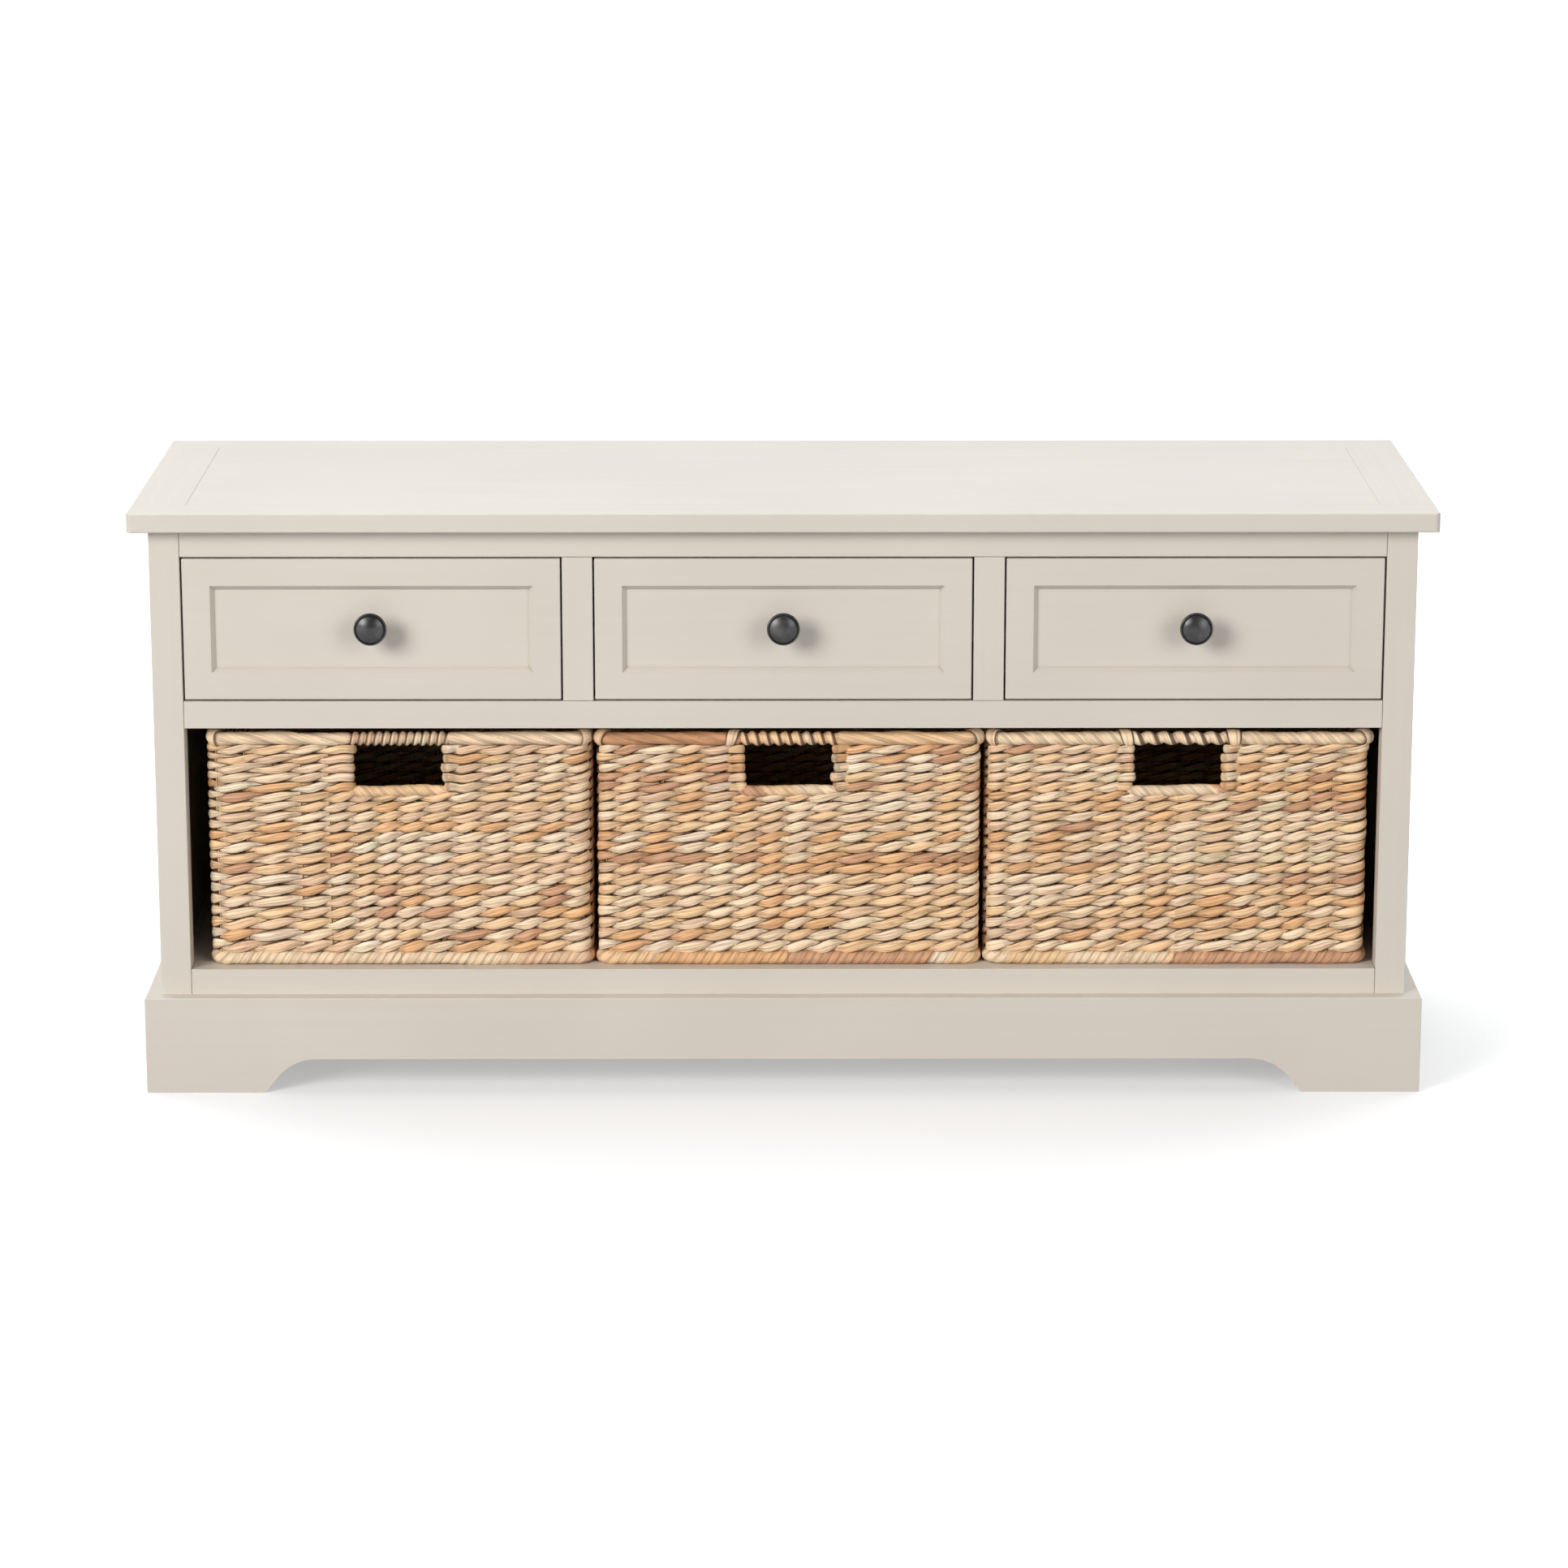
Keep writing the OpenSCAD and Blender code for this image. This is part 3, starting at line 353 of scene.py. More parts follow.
def leaf_material():
    """Dried leaf: each strand's own tint, long fibres, folds, and painted shade along the strands' top and
    bottom edges, where the rows meet.
    """
    s = Shader("dried_leaf")
    uv = s.node("UVMap", {"uv_map": "strand"}).outputs["UV"]
    tint = s.node("Attribute", {"attribute_name": "tint"}).outputs["Color"]
    mark = s.node("Attribute", {"attribute_name": "mark"}).outputs["Fac"]
    parts = s.node("SeparateXYZ", Vector=uv)
    run, round_ = parts.outputs["X"], parts.outputs["Y"]
    offset = s.math("MULTIPLY", mark, 37.0)

    def strip(stretched, across):
        joined = s.node("CombineXYZ", X=s.math("MULTIPLY", run, stretched),
                        Y=s.math("MULTIPLY", round_, across), Z=offset)
        return joined.outputs["Vector"]

    fibre = s.noise(strip(45, 34), 1.0, 4.0, 0.7)
    folds = s.noise(strip(16, 9), 1.0, 2.0, 0.5)
    fold = s.span(s.math("ABSOLUTE", s.math("SUBTRACT", folds, 0.5)), 0.0, 0.05, 1.0, 0.0)
    stain = s.noise(strip(30, 3), 1.0, 3.0, 0.6)
    calm = s.span(mark, 1.5, 1.6, 0.0, 1.0)
    base = s.mix(s.span(fibre, 0.42, 0.72, 0.0, 0.5), tint, s.mix(1.0, tint, srgb("D8B088"), "MULTIPLY"))
    base = s.mix(s.span(fibre, 0.2, 0.4, 0.35, 0.0), base, srgb("FFF0DA"))
    # Darker crease lines: partly the dried leaf's own colour, partly painted shade in the creases.
    base = s.mix(s.math("MULTIPLY", fold, s.span(calm, 0.0, 1.0, 0.45, 0.28)), base, srgb("8A5A34"))
    base = s.mix(s.span(stain, 0.66, 0.8, 0.0, 0.5), base, srgb("9A6C4A"))
    # Painted shade along each strand's top and bottom edges, where the rows meet, in a dark brown broken up
    # raggedly.
    height = s.math("COSINE", s.math("MULTIPLY", round_, 2 * math.pi))
    rim = s.span(s.math("ABSOLUTE", height), 0.82, 0.96, 0.0, 1.0)
    ragged_shade = s.math("MULTIPLY", s.span(s.noise(strip(420, 8), 1.0, 2.0), 0.5, 0.6, 0.0, 1.0),
                  s.math("SUBTRACT", s.span(mark, 0.55, 0.6, 0.0, 1.0), calm))
    row_shade_strength = s.math("SUBTRACT", s.span(ragged_shade, 0.0, 1.0, 0.88, 0.96), s.math("MULTIPLY", calm, 0.6))
    base = s.mix(s.math("MULTIPLY", rim, row_shade_strength), base, srgb("44240F"))
    shape = s.bump(s.math("SUBTRACT", folds, s.math("MULTIPLY", fold, 0.3)), 1.6 * MM, 0.7)
    shape = s.bump(fibre, 0.35 * MM, 0.6, shape)
    return s.finish(Base_Color=base, Roughness=s.span(fibre, 0.2, 0.8, 0.42, 0.6),
                    Specular_IOR_Level=0.5, Normal=shape)


# ---------------------------------------------------------------- finishes on the CAD nodes

def board_axis(node):
    """The direction of a board's grain: its longest side."""
    low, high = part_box(node)
    size = high - low
    return max((X, Y, Z), key=lambda a: abs(size.dot(a)))


def finish_nodes():
    """Gives every CAD node its material, with grain along the board. Returns the materials without grain."""
    axes = {"x": X, "y": Y, "z": Z}
    paint = {k: paint_material("paint_" + k, a) for k, a in axes.items()}
    wood = {k: bare_wood_material("wood_" + k, a) for k, a in axes.items()}
    others = {"dark_board": dark_board_material("dark_board_painted_shade"), "dark_metal": gunmetal_material(),
              "steel": steel_material()}
    for name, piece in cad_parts.items():
        slot = piece.data.materials[0].name
        axis = board_axis(name)
        key = next(k for k, a in axes.items() if a == axis)
        chosen = {"painted_wood": paint[key], "bare_wood": wood[key]}.get(slot, others.get(slot))
        if chosen is not None:
            piece.data.materials[0] = chosen
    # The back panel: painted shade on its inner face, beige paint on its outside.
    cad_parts["back_panel"].data.materials[0] = dark_board_material("back_panel_board", True)
    return others


# ---------------------------------------------------------------- knobs

def knob_profile(reach, radius):
    """Half section of a knob from its foot to the crown: radius and distance from the drawer."""
    foot, neck, dome = 0.55 * radius, 0.40 * radius, 0.85 * radius
    rise, rim = 3.1 * MM, 3.0 * MM
    waist, face = 0.38 * reach, reach - rise
    points = [(0, 0), (foot, 0), (foot, 1.2 * MM), (foot - 0.4 * MM, 1.9 * MM), (neck + 1.2 * MM, 2.5 * MM),
              (neck + 0.4 * MM, 3.4 * MM), (neck, 5.0 * MM), (neck + 0.2 * MM, waist)]
    for t in np.linspace(0, 1, 12)[1:]:
        a = t * math.pi / 2
        points.append((neck + (radius - 0.6 * MM - neck) * (1 - math.cos(a)),
                       face - rim - (1 - math.sin(a)) * (face - rim - waist)))
    edge = face - rim / 2
    for t in np.linspace(-1, 1, 9):
        a = t * math.pi / 2
        points.append((radius - 0.9 * MM * (1 - math.cos(a)), edge + math.sin(a) * rim / 2))
    points += [(dome + 0.85 * MM, face - 0.1 * MM), (dome + 0.4 * MM, face - 1.5 * MM),
               (dome - 0.1 * MM, face - 1.4 * MM)]
    ball = (dome ** 2 + rise ** 2) / (2 * rise)
    widest = math.asin(dome / ball)
    for t in np.linspace(1, 0, 16):
        a = t * widest
        points.append((ball * math.sin(a), reach - ball * (1 - math.cos(a))))
    return points


def turned(name, profile, base, turns=72):
    """A piece turned on a lathe, whose axis points along -Y from base."""
    verts, faces = [], []
    rings = [p for p in profile if p[0] > 1e-6]
    for r, reach in rings:
        for i in range(turns):
            a = 2 * math.pi * i / turns
            verts.append((base.x + r * math.cos(a), base.y - reach, base.z + r * math.sin(a)))
    for k in range(len(rings) - 1):
        for i in range(turns):
            j = (i + 1) % turns
            faces.append((k * turns + i, k * turns + j, (k + 1) * turns + j, (k + 1) * turns + i))
    for k, reach in ((0, profile[0][1]), (len(rings) - 1, profile[-1][1])):
        centre = len(verts)
        verts.append((base.x, base.y - reach, base.z))
        for i in range(turns):
            j = (i + 1) % turns
            pair = (k * turns + j, k * turns + i) if k == 0 else (k * turns + i, k * turns + j)
            faces.append((centre,) + pair)
    mesh = bpy.data.meshes.new(name)
    mesh.from_pydata(verts, [], faces)
    mesh.polygons.foreach_set("use_smooth", [True] * len(faces))
    made = bpy.data.objects.new(name, mesh)
    bpy.context.scene.collection.objects.link(made)
    return made


def add_knobs(metal):
    """A turned knob in place of each drawer's CAD knob."""
    for cell in CELLS:
        node = cell + "_drawer_knob"
        low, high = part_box(node)
        base = Vector(((low.x + high.x) / 2, high.y, (low.z + high.z) / 2))
        knob = turned(cell + "_knob", knob_profile(high.y - low.y, (high.x - low.x) / 2), base)
        knob.data.materials.append(metal)
        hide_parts(node)
        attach(knob, cell + "_drawer")


# ---------------------------------------------------------------- strands

class Strands:
    """Gathers tubes and rolls into one mesh with their tints and their own running coordinates."""

    def __init__(self):
        self.verts, self.faces, self.uvs, self.tints, self.marks = [], [], [], [], []
        self.count = 0

    def add(self, rings, tints, marks, closed, run, round_):
        """rings is (n, sides, 3). run and round_ are texture coordinates, (n + closed, sides + 1) of them."""
        n, sides = rings.shape[:2]
        index = self.count + np.arange(n * sides).reshape(n, sides)
        after = np.roll(index, -1, 0) if closed else index[1:]
        here = index if closed else index[:-1]
        quads = np.stack([here, after, np.roll(after, -1, 1), np.roll(here, -1, 1)], 2)
        self.verts.append(rings.reshape(-1, 3))
        self.faces.append(quads.reshape(-1, 4))
        corner = np.stack([run, round_], 2)
        k = len(here)
        uv = np.stack([corner[:k, :-1], corner[1:k + 1, :-1], corner[1:k + 1, 1:], corner[:k, 1:]], 2)
        self.uvs.append(uv.reshape(-1, 2))
        self.tints.append(np.broadcast_to(tints, (n, sides, 3)).reshape(-1, 3))
        self.marks.append(np.broadcast_to(marks, (n, sides)).reshape(-1))
        self.count += n * sides

    def build(self, name, material):
        """The gathered mesh, as one object."""
        mesh = bpy.data.meshes.new(name)
        verts, faces = np.concatenate(self.verts), np.concatenate(self.faces)
        mesh.vertices.add(len(verts))
        mesh.vertices.foreach_set("co", verts.astype(np.float32).ravel())
        mesh.loops.add(faces.size)
        mesh.loops.foreach_set("vertex_index", faces.astype(np.int32).ravel())
        mesh.polygons.add(len(faces))
        mesh.polygons.foreach_set("loop_start", np.arange(0, faces.size, 4, dtype=np.int32))
        mesh.polygons.foreach_set("use_smooth", np.ones(len(faces), bool))
        uvs = np.concatenate(self.uvs).astype(np.float32)
        mesh.uv_layers.new(name="strand").data.foreach_set("uv", uvs.ravel())
        tint = mesh.attributes.new("tint", "FLOAT_COLOR", "POINT")
        rgba = np.ones((len(verts), 4), np.float32)
        rgba[:, :3] = np.concatenate(self.tints)
        tint.data.foreach_set("color", rgba.ravel())
        mark = mesh.attributes.new("mark", "FLOAT", "POINT")
        mark.data.foreach_set("value", np.concatenate(self.marks).astype(np.float32))
        mesh.update(calc_edges=True)
        mesh.validate()
        mesh.materials.append(material)
        made = bpy.data.objects.new(name, mesh)
        bpy.context.scene.collection.objects.link(made)
        return made


def directions(points, closed, upright):
    """At each point of a path: outward, and up."""
    if closed:
        way = np.roll(points, -1, 0) - np.roll(points, 1, 0)
    else:
        way = np.gradient(points, axis=0)
    way = way / np.linalg.norm(way, axis=1, keepdims=True)
    out = np.cross(way, np.array(upright, float))
    out = out / np.linalg.norm(out, axis=1, keepdims=True)
    return out, np.cross(out, way)


def path_lengths(points, closed):
    """How far along the path each point is."""
    ends = np.concatenate([points, points[:1]]) if closed else points
    return np.concatenate([[0], np.cumsum(np.linalg.norm(np.diff(ends, axis=0), axis=1))])


def ring_turn(sides):
    """The angles of a ring's points, from its lowest point round."""
    return np.radians(-90 + 360 * np.arange(sides) / sides)


def rings_round(points, out, up, half_out, half_up):
    """Rings round a path: half_out and half_up are each ring point's distances outward and up."""
    return points[:, None] + up[:, None] * half_up[..., None] + out[:, None] * half_out[..., None]


def add_strand(strands, points, half_up, half_out, tints, marks, closed=True, sides=8, upright=Z):
    """A flattened strand along points, with its own half sizes, tint and mark at each point."""
    out, up = directions(points, closed, upright)
    turn = ring_turn(sides)
    rings = rings_round(points, out, up, half_out[:, None] * np.cos(turn), half_up[:, None] * np.sin(turn))
    run = path_lengths(points, closed)
    round_ = np.arange(sides + 1) / sides
    run, round_ = np.meshgrid(run, round_, indexing="ij")
    strands.add(rings, tints[:, None], marks[:, None], closed, run, round_)


def add_roll(strands, points, radius, spacing, lean, tints, rng, starts=1, closed=True, sides=16,
             groove=0.12, swell=4, calm=CALM):
    """A round bundle wrapped with flat strips, which meet at that spacing along it, with starts strips
    side by side. A strip is thinner by groove at its edges, and a higher swell keeps it flat between them."""
    out, up = directions(points, closed, Z)
    run = path_lengths(points, closed)
    wraps = run / spacing
    wraps = wraps * (round(wraps[-1]) / wraps[-1]) if closed else wraps
    turn = ring_turn(sides)
    phase = wraps[:len(points), None] + lean * starts * turn / (2 * math.pi) + 4
    share, number = phase % 1, np.floor(phase).astype(int)
    wide = rng.uniform(0.95, 1.05, number.max() + 2)[number]
    bulge = 1 - groove * np.abs(2 * share - 1) ** swell + 0.06 * share
    size = radius[:, None] * bulge * wide
    rings = rings_round(points, out, up, size * np.cos(turn), size * np.sin(turn))
    tint = tints[number % len(tints)]
    girth = 2 * math.pi * radius.mean()
    slope = math.atan2(girth, starts * spacing)
    corner = np.arange(sides + 1) / sides
    along_strip = run[:, None] * math.cos(slope) - lean * girth * corner * math.sin(slope)
    across_strip = (wraps[:, None] + lean * starts * corner) / 2
    strands.add(rings, tint, calm + (number % 97) / 97, closed, along_strip, across_strip)


# ---------------------------------------------------------------- basket

class Plan:
    """The rounded rectangle that a basket's wall follows, by the distance s round it from the middle
    of its front."""

    def __init__(self, low, high):
        half = (high - low) / 2
        self.centre = (low + high) / 2
        f, g = half.x - WALL_INSET - CORNER_R, half.y - WALL_INSET - CORNER_R
        bend = CORNER_R * math.pi / 2
        self.s = np.cumsum([0, f, bend, 2 * g, bend, 2 * f, bend, 2 * g, bend, f])
        self.x = [0, f, f, f, f, -f, -f, -f, -f, 0]
        self.y = [-g, -g, -g, g, g, g, g, -g, -g, -g]
        self.turn = np.radians([-90, -90, 0, 0, 90, 90, 180, 180, 270, 270])
        self.length = self.s[-1]

    def at(self, s, out, z):
        """Points on the wall at distance s, moved outward by out, at height z."""
        s = np.mod(s, self.length)
        turn = np.interp(s, self.s, self.turn)
        r = CORNER_R + out
        x = np.interp(s, self.s, self.x) + r * np.cos(turn) + self.centre.x
        y = np.interp(s, self.s, self.y) + r * np.sin(turn) + self.centre.y
        return np.stack([x, y, z + 0 * x], 1)

    def from_hole(self, s):
        """How far s is from the middle of the nearest hand hole, at the front or the back."""
        return np.abs((s + self.length / 4) % (self.length / 2) - self.length / 4)

    def hole_middles(self):
        """How far round the hand holes' middles are."""
        return 0, self.length / 2


def wander(rng, s, length, waves=6, fastest=24):
    """A smooth value, mostly from -1 to 1, that closes on itself round the wall."""
    total = sum(np.sin(2 * math.pi * rng.integers(2, fastest) * s / length + rng.uniform(0, 7))
                for _ in range(waves))
    return total * math.sqrt(2 / waves) * 0.7


LEAF = {"cream": "FFE3C0", "straw": "FCD5A6", "tan": "F2BF8A", "beige": "F4D0AC", "brown": "DAA882",
        "rust": "CF9A70", "bright": "FFEACD", "green": "F3E0B8"}
BRIGHTEST = 0.96

# How often each colour comes, in each basket's wall and its border
SHARES = {
    "left": {"cream": 7, "straw": 5, "tan": 1.6, "beige": 4, "brown": 0.8, "bright": 1.2},
    "middle": {"cream": 6, "straw": 7, "tan": 3, "beige": 2, "brown": 1.5, "bright": 1},
    "right": {"cream": 7, "straw": 6, "tan": 2, "beige": 2, "brown": 1, "bright": 1, "green": 0.7},
    "left_border": {"cream": 3, "beige": 1},
    "middle_border": {"straw": 3, "cream": 1},
    "right_border": {"cream": 3, "bright": 1},
}


def leaf_tints(cell, rng, count, hold=0.6):
    """A run of leaf colours: each piece of leaf keeps its colour for a few turns, with small changes."""
    names = list(SHARES[cell])
    weight = np.array([SHARES[cell][n] for n in names], float)
    picks, last = [], None
    for _ in range(count):
        if last is None or rng.random() > hold:
            last = names[rng.choice(len(names), p=weight / weight.sum())]
        picks.append(srgb(LEAF[last])[:3])
    tints = np.array(picks) * rng.uniform(0.91, 1.03, (count, 1)) * rng.uniform(0.98, 1.0, (count, 3))
    return np.minimum(tints, BRIGHTEST)


class Row:
    """One row of twining: two strands that cross between the stakes, and pass before and behind them
    in turn. All rows of a basket have one basket_seed, so that their strands stand in columns."""

    def __init__(self, cell, plan, rng, z, pitch, basket_seed):
        self.plan, self.z, self.pitch, self.basket_seed = plan, z, pitch, basket_seed
        self.spacing = plan.length / STAKES
        self.slip_seed = int(rng.integers(1 << 30))
        self.seeds = rng.integers(1 << 30, size=2)
        self.full = [rng.uniform(0.88, 1.14, STAKES) for _ in range(2)]
        self.tilt = [rng.uniform(0.8, 1.3, STAKES) for _ in range(2)]
        self.tints = [leaf_tints(cell, rng, STAKES) for _ in range(2)]
        self.marks = [rng.random(STAKES) for _ in range(2)]

    def turn(self, s, which):
        """A strand's angle in its twist: 0 where it is in front of a stake."""
        slip = 0.10 * wander(np.random.default_rng(self.slip_seed), s, self.plan.length)
        shared = 0.22 * wander(np.random.default_rng(self.basket_seed), s, self.plan.length, 5, 11)
        return math.pi * (s / self.spacing - 0.5 + which) + math.pi * (slip + shared)

    def strand(self, s, which):
        """Distance out, height, half height, half thickness, tint (darkened where the strands cross, as
        painted shade) and mark of a strand at each s.
        """
        turn = self.turn(s, which)
        number = np.floor((turn + math.pi) / (2 * math.pi)).astype(int) % (STAKES // 2)
        full, tilt = self.full[which][number], self.tilt[which][number]
        front = np.cos(turn)
        ahead, behind = np.clip(front, 0, 1), np.clip(-front, 0, 1)
        out = SWING * front
        rise = RISE * self.pitch * np.sin(turn) * (1 + (tilt - 1) * ahead)
        up = self.pitch * (HALF_H + AHEAD_H * ahead ** 0.9 * full + BEHIND_H * behind)
        thick = HALF_THICK + AHEAD_THICK * ahead * full
        rng = np.random.default_rng(self.seeds[which])
        rise = rise + 0.035 * self.pitch * wander(rng, s, self.plan.length, 6, 40)
        up = up * (1 + 0.05 * wander(rng, s, self.plan.length, 6, 60))
        # Painted shade: the tint darkens where the strand crosses between the stakes.
        crossing_shade = 1 - 0.3 * np.clip(1 - np.abs(front) / 0.5, 0, 1)
        return out, rise, up, thick, self.tints[which][number] * crossing_shade[:, None], self.marks[which][number]

    def ring(self, strands):
        """The row all round the basket."""
        n = int(self.plan.length / RING_STEP)
        s = np.arange(n) / n * self.plan.length
        for which in (0, 1):
            out, rise, up, thick, tint, mark = self.strand(s, which)
            add_strand(strands, self.plan.at(s, out, self.z + rise), up, thick, tint, mark)

    def stretch(self, strands, start, end):
        """The row from start to end only: each strand turns back round the edge and goes on as the other."""
        s = np.linspace(start, end, int((end - start) / RING_STEP))
        first = 0 if math.cos(self.turn(np.array([end]), 0)[0]) > 0 else 1
        near = 1 - np.clip(np.minimum(s - start, end - s) / TURN_RUN, 0, 1)
        near = near * near * (3 - 2 * near)
        runs = [self.flattened(s, which, side, near) for which, side in ((first, 1), (1 - first, -1))]
        parts = [runs[0], self.turn_back(runs[0], runs[1], end, 1),
                 runs[1], self.turn_back(runs[1], runs[0], start, -1)]
        s, out, rise, up, thick, tint, mark = (np.concatenate(values) for values in zip(*parts))
        add_strand(strands, self.plan.at(s, out, self.z + rise), up, thick, tint, mark)

    def flattened(self, s, which, side, near):
        """A strand that leaves its twist towards the row's ends, where near is 1, and lies outside the
        wall there (side 1) or inside it (side -1). Inside, it runs backwards."""
        out, rise, up, thick, tint, mark = self.strand(s, which)
        out = out + near * (side * TURN_REACH - out)
        rise = rise * (1 - near) + near * side * 0.1 * self.pitch
        up = up + near * (TURN_H * self.pitch - up)
        thick = thick + near * (TURN_THICK - thick)
        return [value[::side] for value in (s, out, rise, up, thick, tint, mark)]

    def turn_back(self, before, after, edge, side):
        """The bend from one strand's end to the other's start, round the edge at s = edge."""
        t = np.radians(np.array([36, 72, 108, 144]))
        share = t / math.pi
        bend = [edge + side * TURN_REACH * np.sin(t), side * TURN_REACH * np.cos(t)]
        bend += [before[i][-1] * (1 - share) + after[i][0] * share for i in (2, 3, 4)]
        return bend + [np.repeat(before[i][-1:], len(t), 0) for i in (5, 6)]


def add_rows(strands, cell, plan, rng, low_z, high_z):
    """The wall's rows. Those beside the hand holes stop at the holes' ragged edges."""
    basket_seed = int(rng.integers(1 << 30))
    pitches = np.linspace(LOW_PITCH, HIGH_PITCH, ROWS)
    pitches = pitches * (high_z - low_z) / pitches.sum()
    tops = low_z + np.cumsum(pitches)
    half_ring = plan.length / 2
    edge = HOLE_HALF_W + 3.0 * MM
    for top, pitch in zip(tops, pitches):
        row = Row(cell, plan, rng, top - pitch / 2, pitch, basket_seed)
        if top > high_z - HOLE_H + 2 * MM:
            ragged = edge + rng.uniform(-1.6, 1.6, 4) * MM
            row.stretch(strands, ragged[0], half_ring - ragged[1])
            row.stretch(strands, half_ring + ragged[2], plan.length - ragged[3])
        else:
            row.ring(strands)


def add_edge_rolls(strands, cell, plan, rng, low, high):
    """The wrapped border round the top, thinner at the hand holes, and the roll round the foot."""
    n = int(plan.length / (1.3 * MM))
    s = np.arange(n) / n * plan.length
    radius = ROLL_R * (1 + 0.05 * wander(rng, s, plan.length, 6, 30))
    at_hole = np.clip((HOLE_HALF_W + 4 * MM - plan.from_hole(s)) / (4 * MM), 0, 1)
    top = high.z - ROLL_R + 0.2 * MM * wander(rng, s, plan.length)
    spacing, starts = {"left": (31, 3), "middle": (34, 3), "right": (15, 2)}[cell]
    tints = leaf_tints(cell + "_border", rng, int(plan.length / spacing / MM) + 8, 0.8)
    if cell == "middle":
        tints[int((plan.length - 155 * MM) / spacing / MM) + 4:] = srgb(LEAF["rust"])[:3]
    add_roll(strands, plan.at(s, ROLL_OUT, top), radius * (1 - 0.5 * at_hole), spacing * MM, 1, tints,
             rng, starts)
    foot = plan.at(s, ROLL_OUT, low.z + ROLL_R - 0.2 * MM + 0.3 * MM * wander(rng, s, plan.length))
    add_roll(strands, foot, radius, 7 * MM, -1, leaf_tints(cell, rng, 311, 0.93), rng, 3, groove=0.08)


def add_hole_coils(strands, cell, plan, rng, high):
    """The close coil round the border over each hand hole."""
    spacing, lean = {"left": (6.5, -1), "middle": (9, 1), "right": (13, 1)}[cell]
    reach = HOLE_HALF_W + 3 * MM
    for middle in plan.hole_middles():
        s = np.arange(-reach, reach, 0.65 * MM)
        ends = np.clip((reach - np.abs(s)) / (3 * MM), 0, 1)
        path = plan.at(s + middle, ROLL_OUT, high.z - ROLL_R - 0.1 * MM)
        tints = leaf_tints(cell + "_border", rng, 31, 0.85)
        add_roll(strands, path, ROLL_R * (0.7 + 0.38 * ends ** 0.5), spacing * MM, lean, tints, rng,
                 closed=False, sides=20, groove=0.42, swell=2, calm=0)


def add_ties(strands, cell, plan, rng, middle_z):
    """Flat leaf ends that go over the border at the corners and beside the hand holes."""
    corners = list((plan.s[1:8:2] + plan.s[2:9:2]) / 2)
    sides = {"left": (), "middle": (-1,), "right": (-1, 1)}[cell]
    beside = [m + side * (HOLE_HALF_W + 7 * MM) for m in plan.hole_middles() for side in sides]
    for s0 in corners + beside:
        t = np.radians(np.linspace(-70, 250, 18))
        reach = ROLL_R + 0.9 * MM
        slant = rng.uniform(-5, 5) * MM
        s = s0 + slant * np.linspace(-1, 1, len(t))
        points = plan.at(s, ROLL_OUT + reach * np.cos(t), middle_z + reach * np.sin(t))
        side = (plan.at(np.array([s0 + MM]), 0, 0) - plan.at(np.array([s0 - MM]), 0, 0))[0]
        width = rng.uniform(4.5, 6.5) * MM * (1 - 0.5 * np.abs(np.linspace(-1, 1, len(t))) ** 3)
        tint = leaf_tints(cell + "_border", rng, 1)
        add_strand(strands, points, width, np.full(len(t), 1.2 * MM), np.repeat(tint, len(t), 0),
                   np.full(len(t), rng.random()), closed=False, upright=side / np.linalg.norm(side))


def add_hole_rolls(strands, cell, plan, rng, high_z):
    """The roll along the lower edge of each hand hole."""
    z = high_z - HOLE_H - 4.4 * MM
    reach = HOLE_HALF_W + 5 * MM
    for middle in plan.hole_middles():
        s = np.linspace(-reach, reach, 68)
        ends = np.clip((reach - np.abs(s)) / (9 * MM), 0, 1) ** 0.5
        radius = 4.7 * MM * (0.25 + 0.75 * ends) * (1 + 0.05 * np.sin(s * 130))
        height = z + 5 * MM * (1 - ends) ** 1.5 + 0.5 * MM * np.sin(s * 60)
        add_roll(strands, plan.at(s + middle, 0.9 * MM, height), radius, 13 * MM, 1,
                 leaf_tints(cell, rng, 31, 0.7), rng, 2, closed=False, sides=14)


def add_stakes(strands, cell, plan, rng, low_z, high_z):
    """Thin upright stakes that the rows are woven round. A hand hole cuts through those in its way."""
    spacing, count = plan.length / STAKES, 12
    tint = np.array(srgb(LEAF["straw"])[:3])
    for k in range(STAKES):
        s = (k + 0.5) * spacing
        top = high_z - HOLE_H - 5 * MM if plan.from_hole(s) < HOLE_HALF_W else high_z
        z = np.linspace(low_z, top, count)
        points = plan.at(np.full(count, s), 0, z) + rng.normal(0, 0.2 * MM, (count, 3))
        size = np.full(count, 1.3 * MM)
        shade = np.repeat((tint * rng.uniform(0.8, 1.05))[None], count, 0)
        add_strand(strands, points, size, size, shade, np.full(count, rng.random()), closed=False,
                   sides=6, upright=Y)


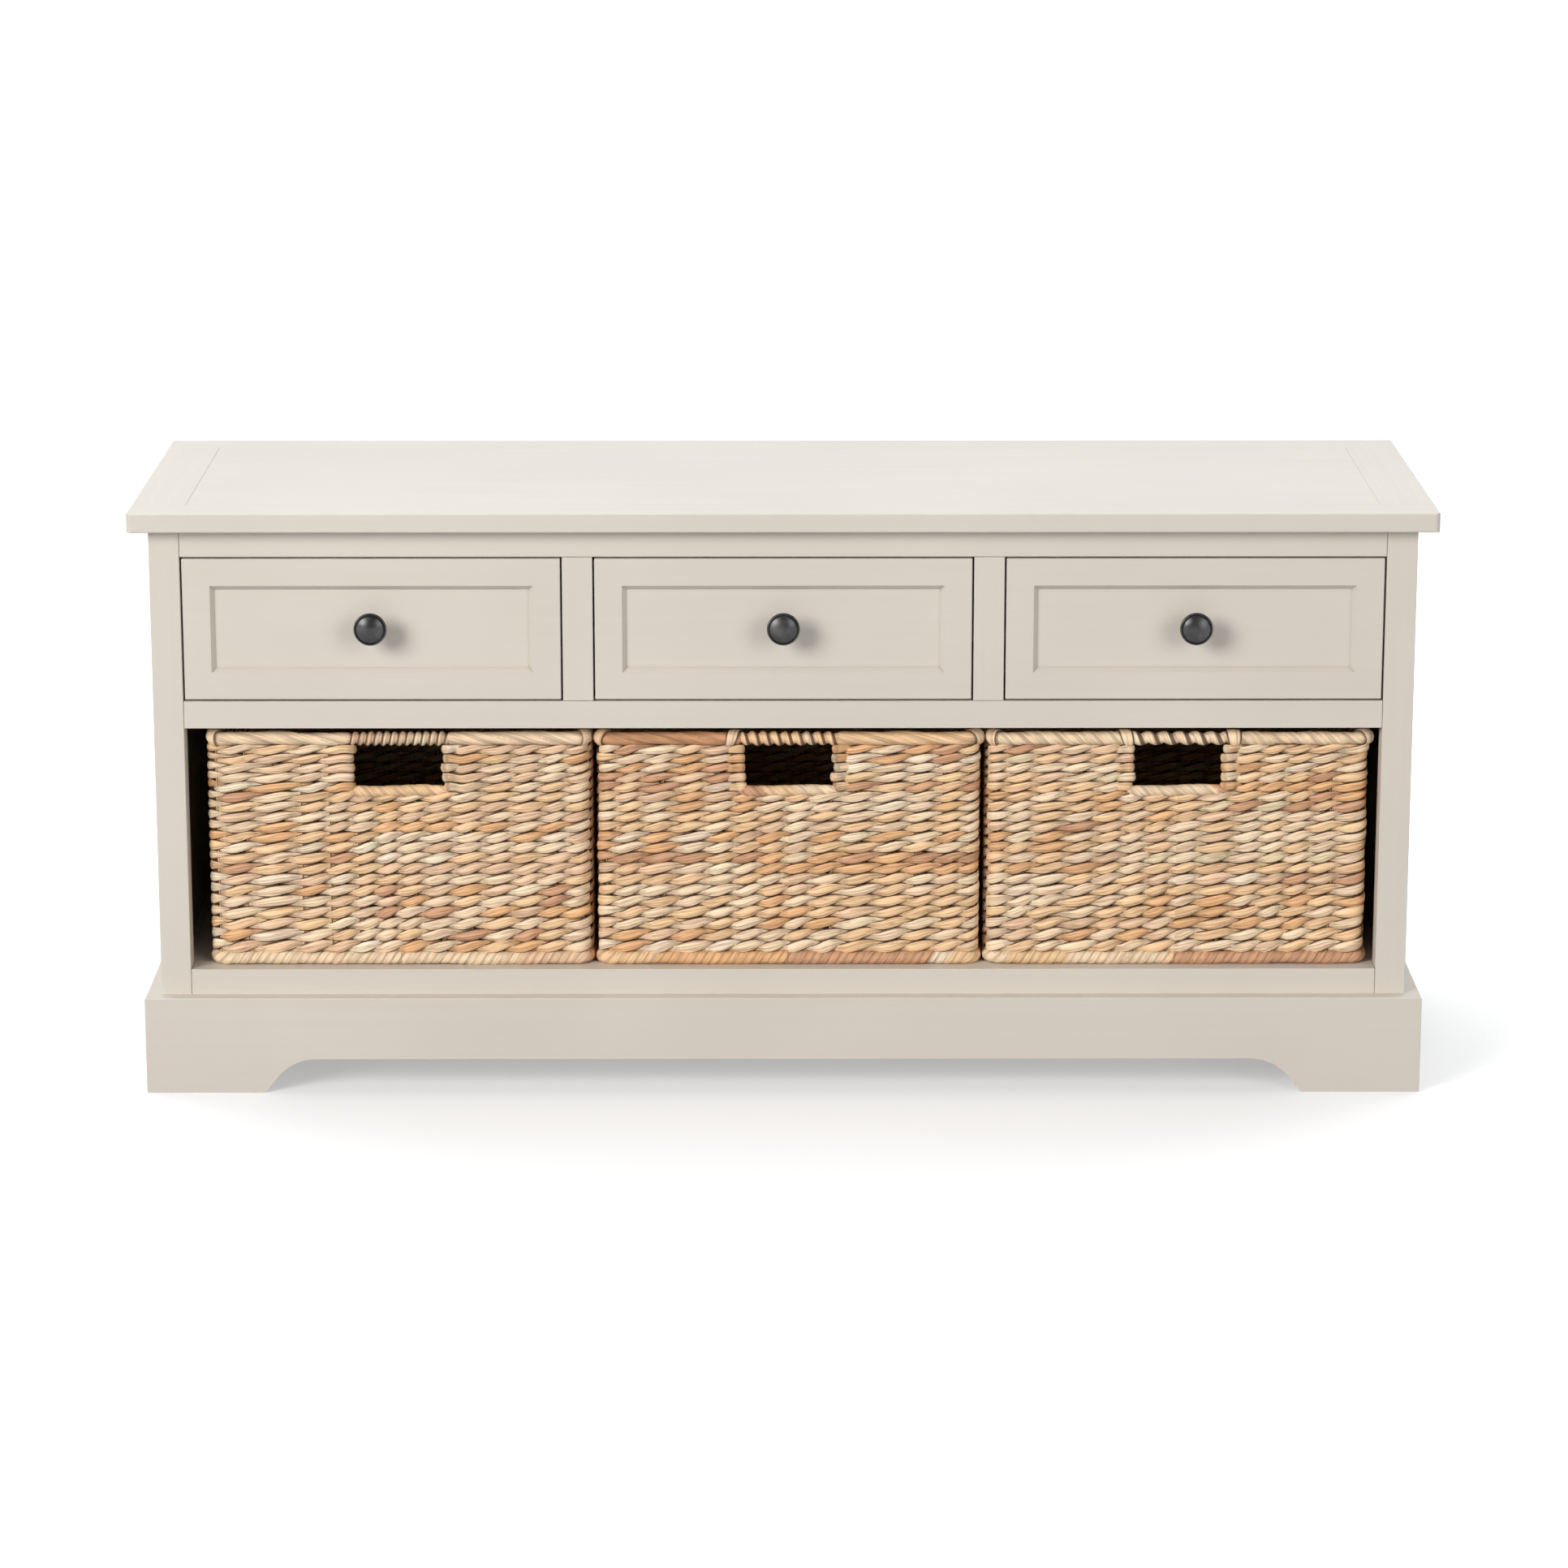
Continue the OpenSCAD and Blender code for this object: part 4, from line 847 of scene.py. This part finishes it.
def add_floor(strands, cell, low, high, rng):
    """The basket's floor: rows of twisted strands from side to side."""
    inset, half_twist, count_x, colours = 7 * MM, 26 * MM, 60, 12
    x0, x1, y0, y1 = low.x + inset, high.x - inset, low.y + inset, high.y - inset
    pitch = 10.2 * MM
    count = int((y1 - y0) / pitch)
    x = np.linspace(x0, x1, count_x)
    for k in range(count):
        y = y0 + (k + 0.5) * (y1 - y0) / count
        tints = [leaf_tints(cell, rng, colours) * 0.9 for _ in range(2)]
        phase = rng.uniform(-0.4, 0.4)
        for which in (0, 1):
            turn = math.pi * ((x - x0) / half_twist + which) + phase
            number = np.floor((turn + math.pi) / (2 * math.pi)).astype(int) % colours
            z = low.z + 4.6 * MM + 1.8 * MM * np.cos(turn)
            points = np.stack([x, y - RISE * pitch * np.sin(turn), z], 1)
            up = pitch * (0.27 + 0.26 * np.abs(np.cos(turn)))
            add_strand(strands, points, up, np.full(count_x, 1.4 * MM), tints[which][number],
                       number / colours, closed=False, sides=6, upright=Y)


def add_whiskers(strands, cell, plan, rng, low_z, high_z):
    """Loose ends of fibre that stand out of the weave, clear of the hand holes."""
    clear, count = 9 * MM, 6
    t = np.linspace(0, 1, count)
    for _ in range(WHISKERS):
        s0, z0 = rng.uniform(0, plan.length), rng.uniform(low_z, high_z)
        if plan.from_hole(s0) < HOLE_HALF_W + clear and z0 > high_z - HOLE_H - clear:
            continue
        length = rng.uniform(4, 15) * MM
        way = rng.choice((-1, 1))
        out = 3.4 * MM + rng.uniform(0.3, 1.4) * MM * t ** 1.5
        z = z0 + length * rng.uniform(-0.5, 0.6) * t + 1.5 * MM * rng.uniform(-1, 1) * t ** 2
        size = 0.28 * MM * (1 - 0.8 * t)
        tint = np.repeat((np.array(srgb("E9CFA0")[:3]) * rng.uniform(0.5, 1.1))[None], count, 0)
        add_strand(strands, plan.at(s0 + way * length * t, out, z), size, size, tint,
                   np.full(count, rng.random()), closed=False, sides=4)


def add_basket(cell, leaf, seed):
    """One basket's rows, border and inner piece, in place of its two CAD nodes."""
    weave_low, weave_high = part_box(cell + "_basket_weave")
    rim_low, rim_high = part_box(cell + "_basket_rim")
    plan = Plan(rim_low, rim_high)
    rng = np.random.default_rng(seed)
    low_z, high_z = weave_low.z + 2 * ROLL_R - 0.5 * MM, rim_low.z + 0.4 * MM
    parts = {name: Strands() for name in ("rows", "border", "inner")}
    add_rows(parts["rows"], cell, plan, rng, low_z, high_z)
    add_edge_rolls(parts["border"], cell, plan, rng, weave_low, rim_high)
    add_hole_coils(parts["border"], cell, plan, rng, rim_high)
    add_hole_rolls(parts["border"], cell, plan, rng, high_z)
    add_ties(parts["border"], cell, plan, rng, rim_high.z - ROLL_R)
    add_whiskers(parts["border"], cell, plan, rng, low_z, high_z)
    add_stakes(parts["inner"], cell, plan, rng, weave_low.z + ROLL_R, high_z)
    add_floor(parts["inner"], cell, weave_low, weave_high, rng)
    for name, strands in parts.items():
        piece = strands.build(cell + "_basket_" + name, leaf)
        if name == "rows":
            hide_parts(cell + "_basket_weave")
        if name == "border":
            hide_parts(cell + "_basket_rim")
        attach(piece, cell + "_basket")


# ---------------------------------------------------------------- build

add_camera()
add_studio()
add_backdrop()
finishes = finish_nodes()
add_knobs(finishes["dark_metal"])
leaf = leaf_material()
for seed, cell in enumerate(CELLS, 11):
    add_basket(cell, leaf, seed)
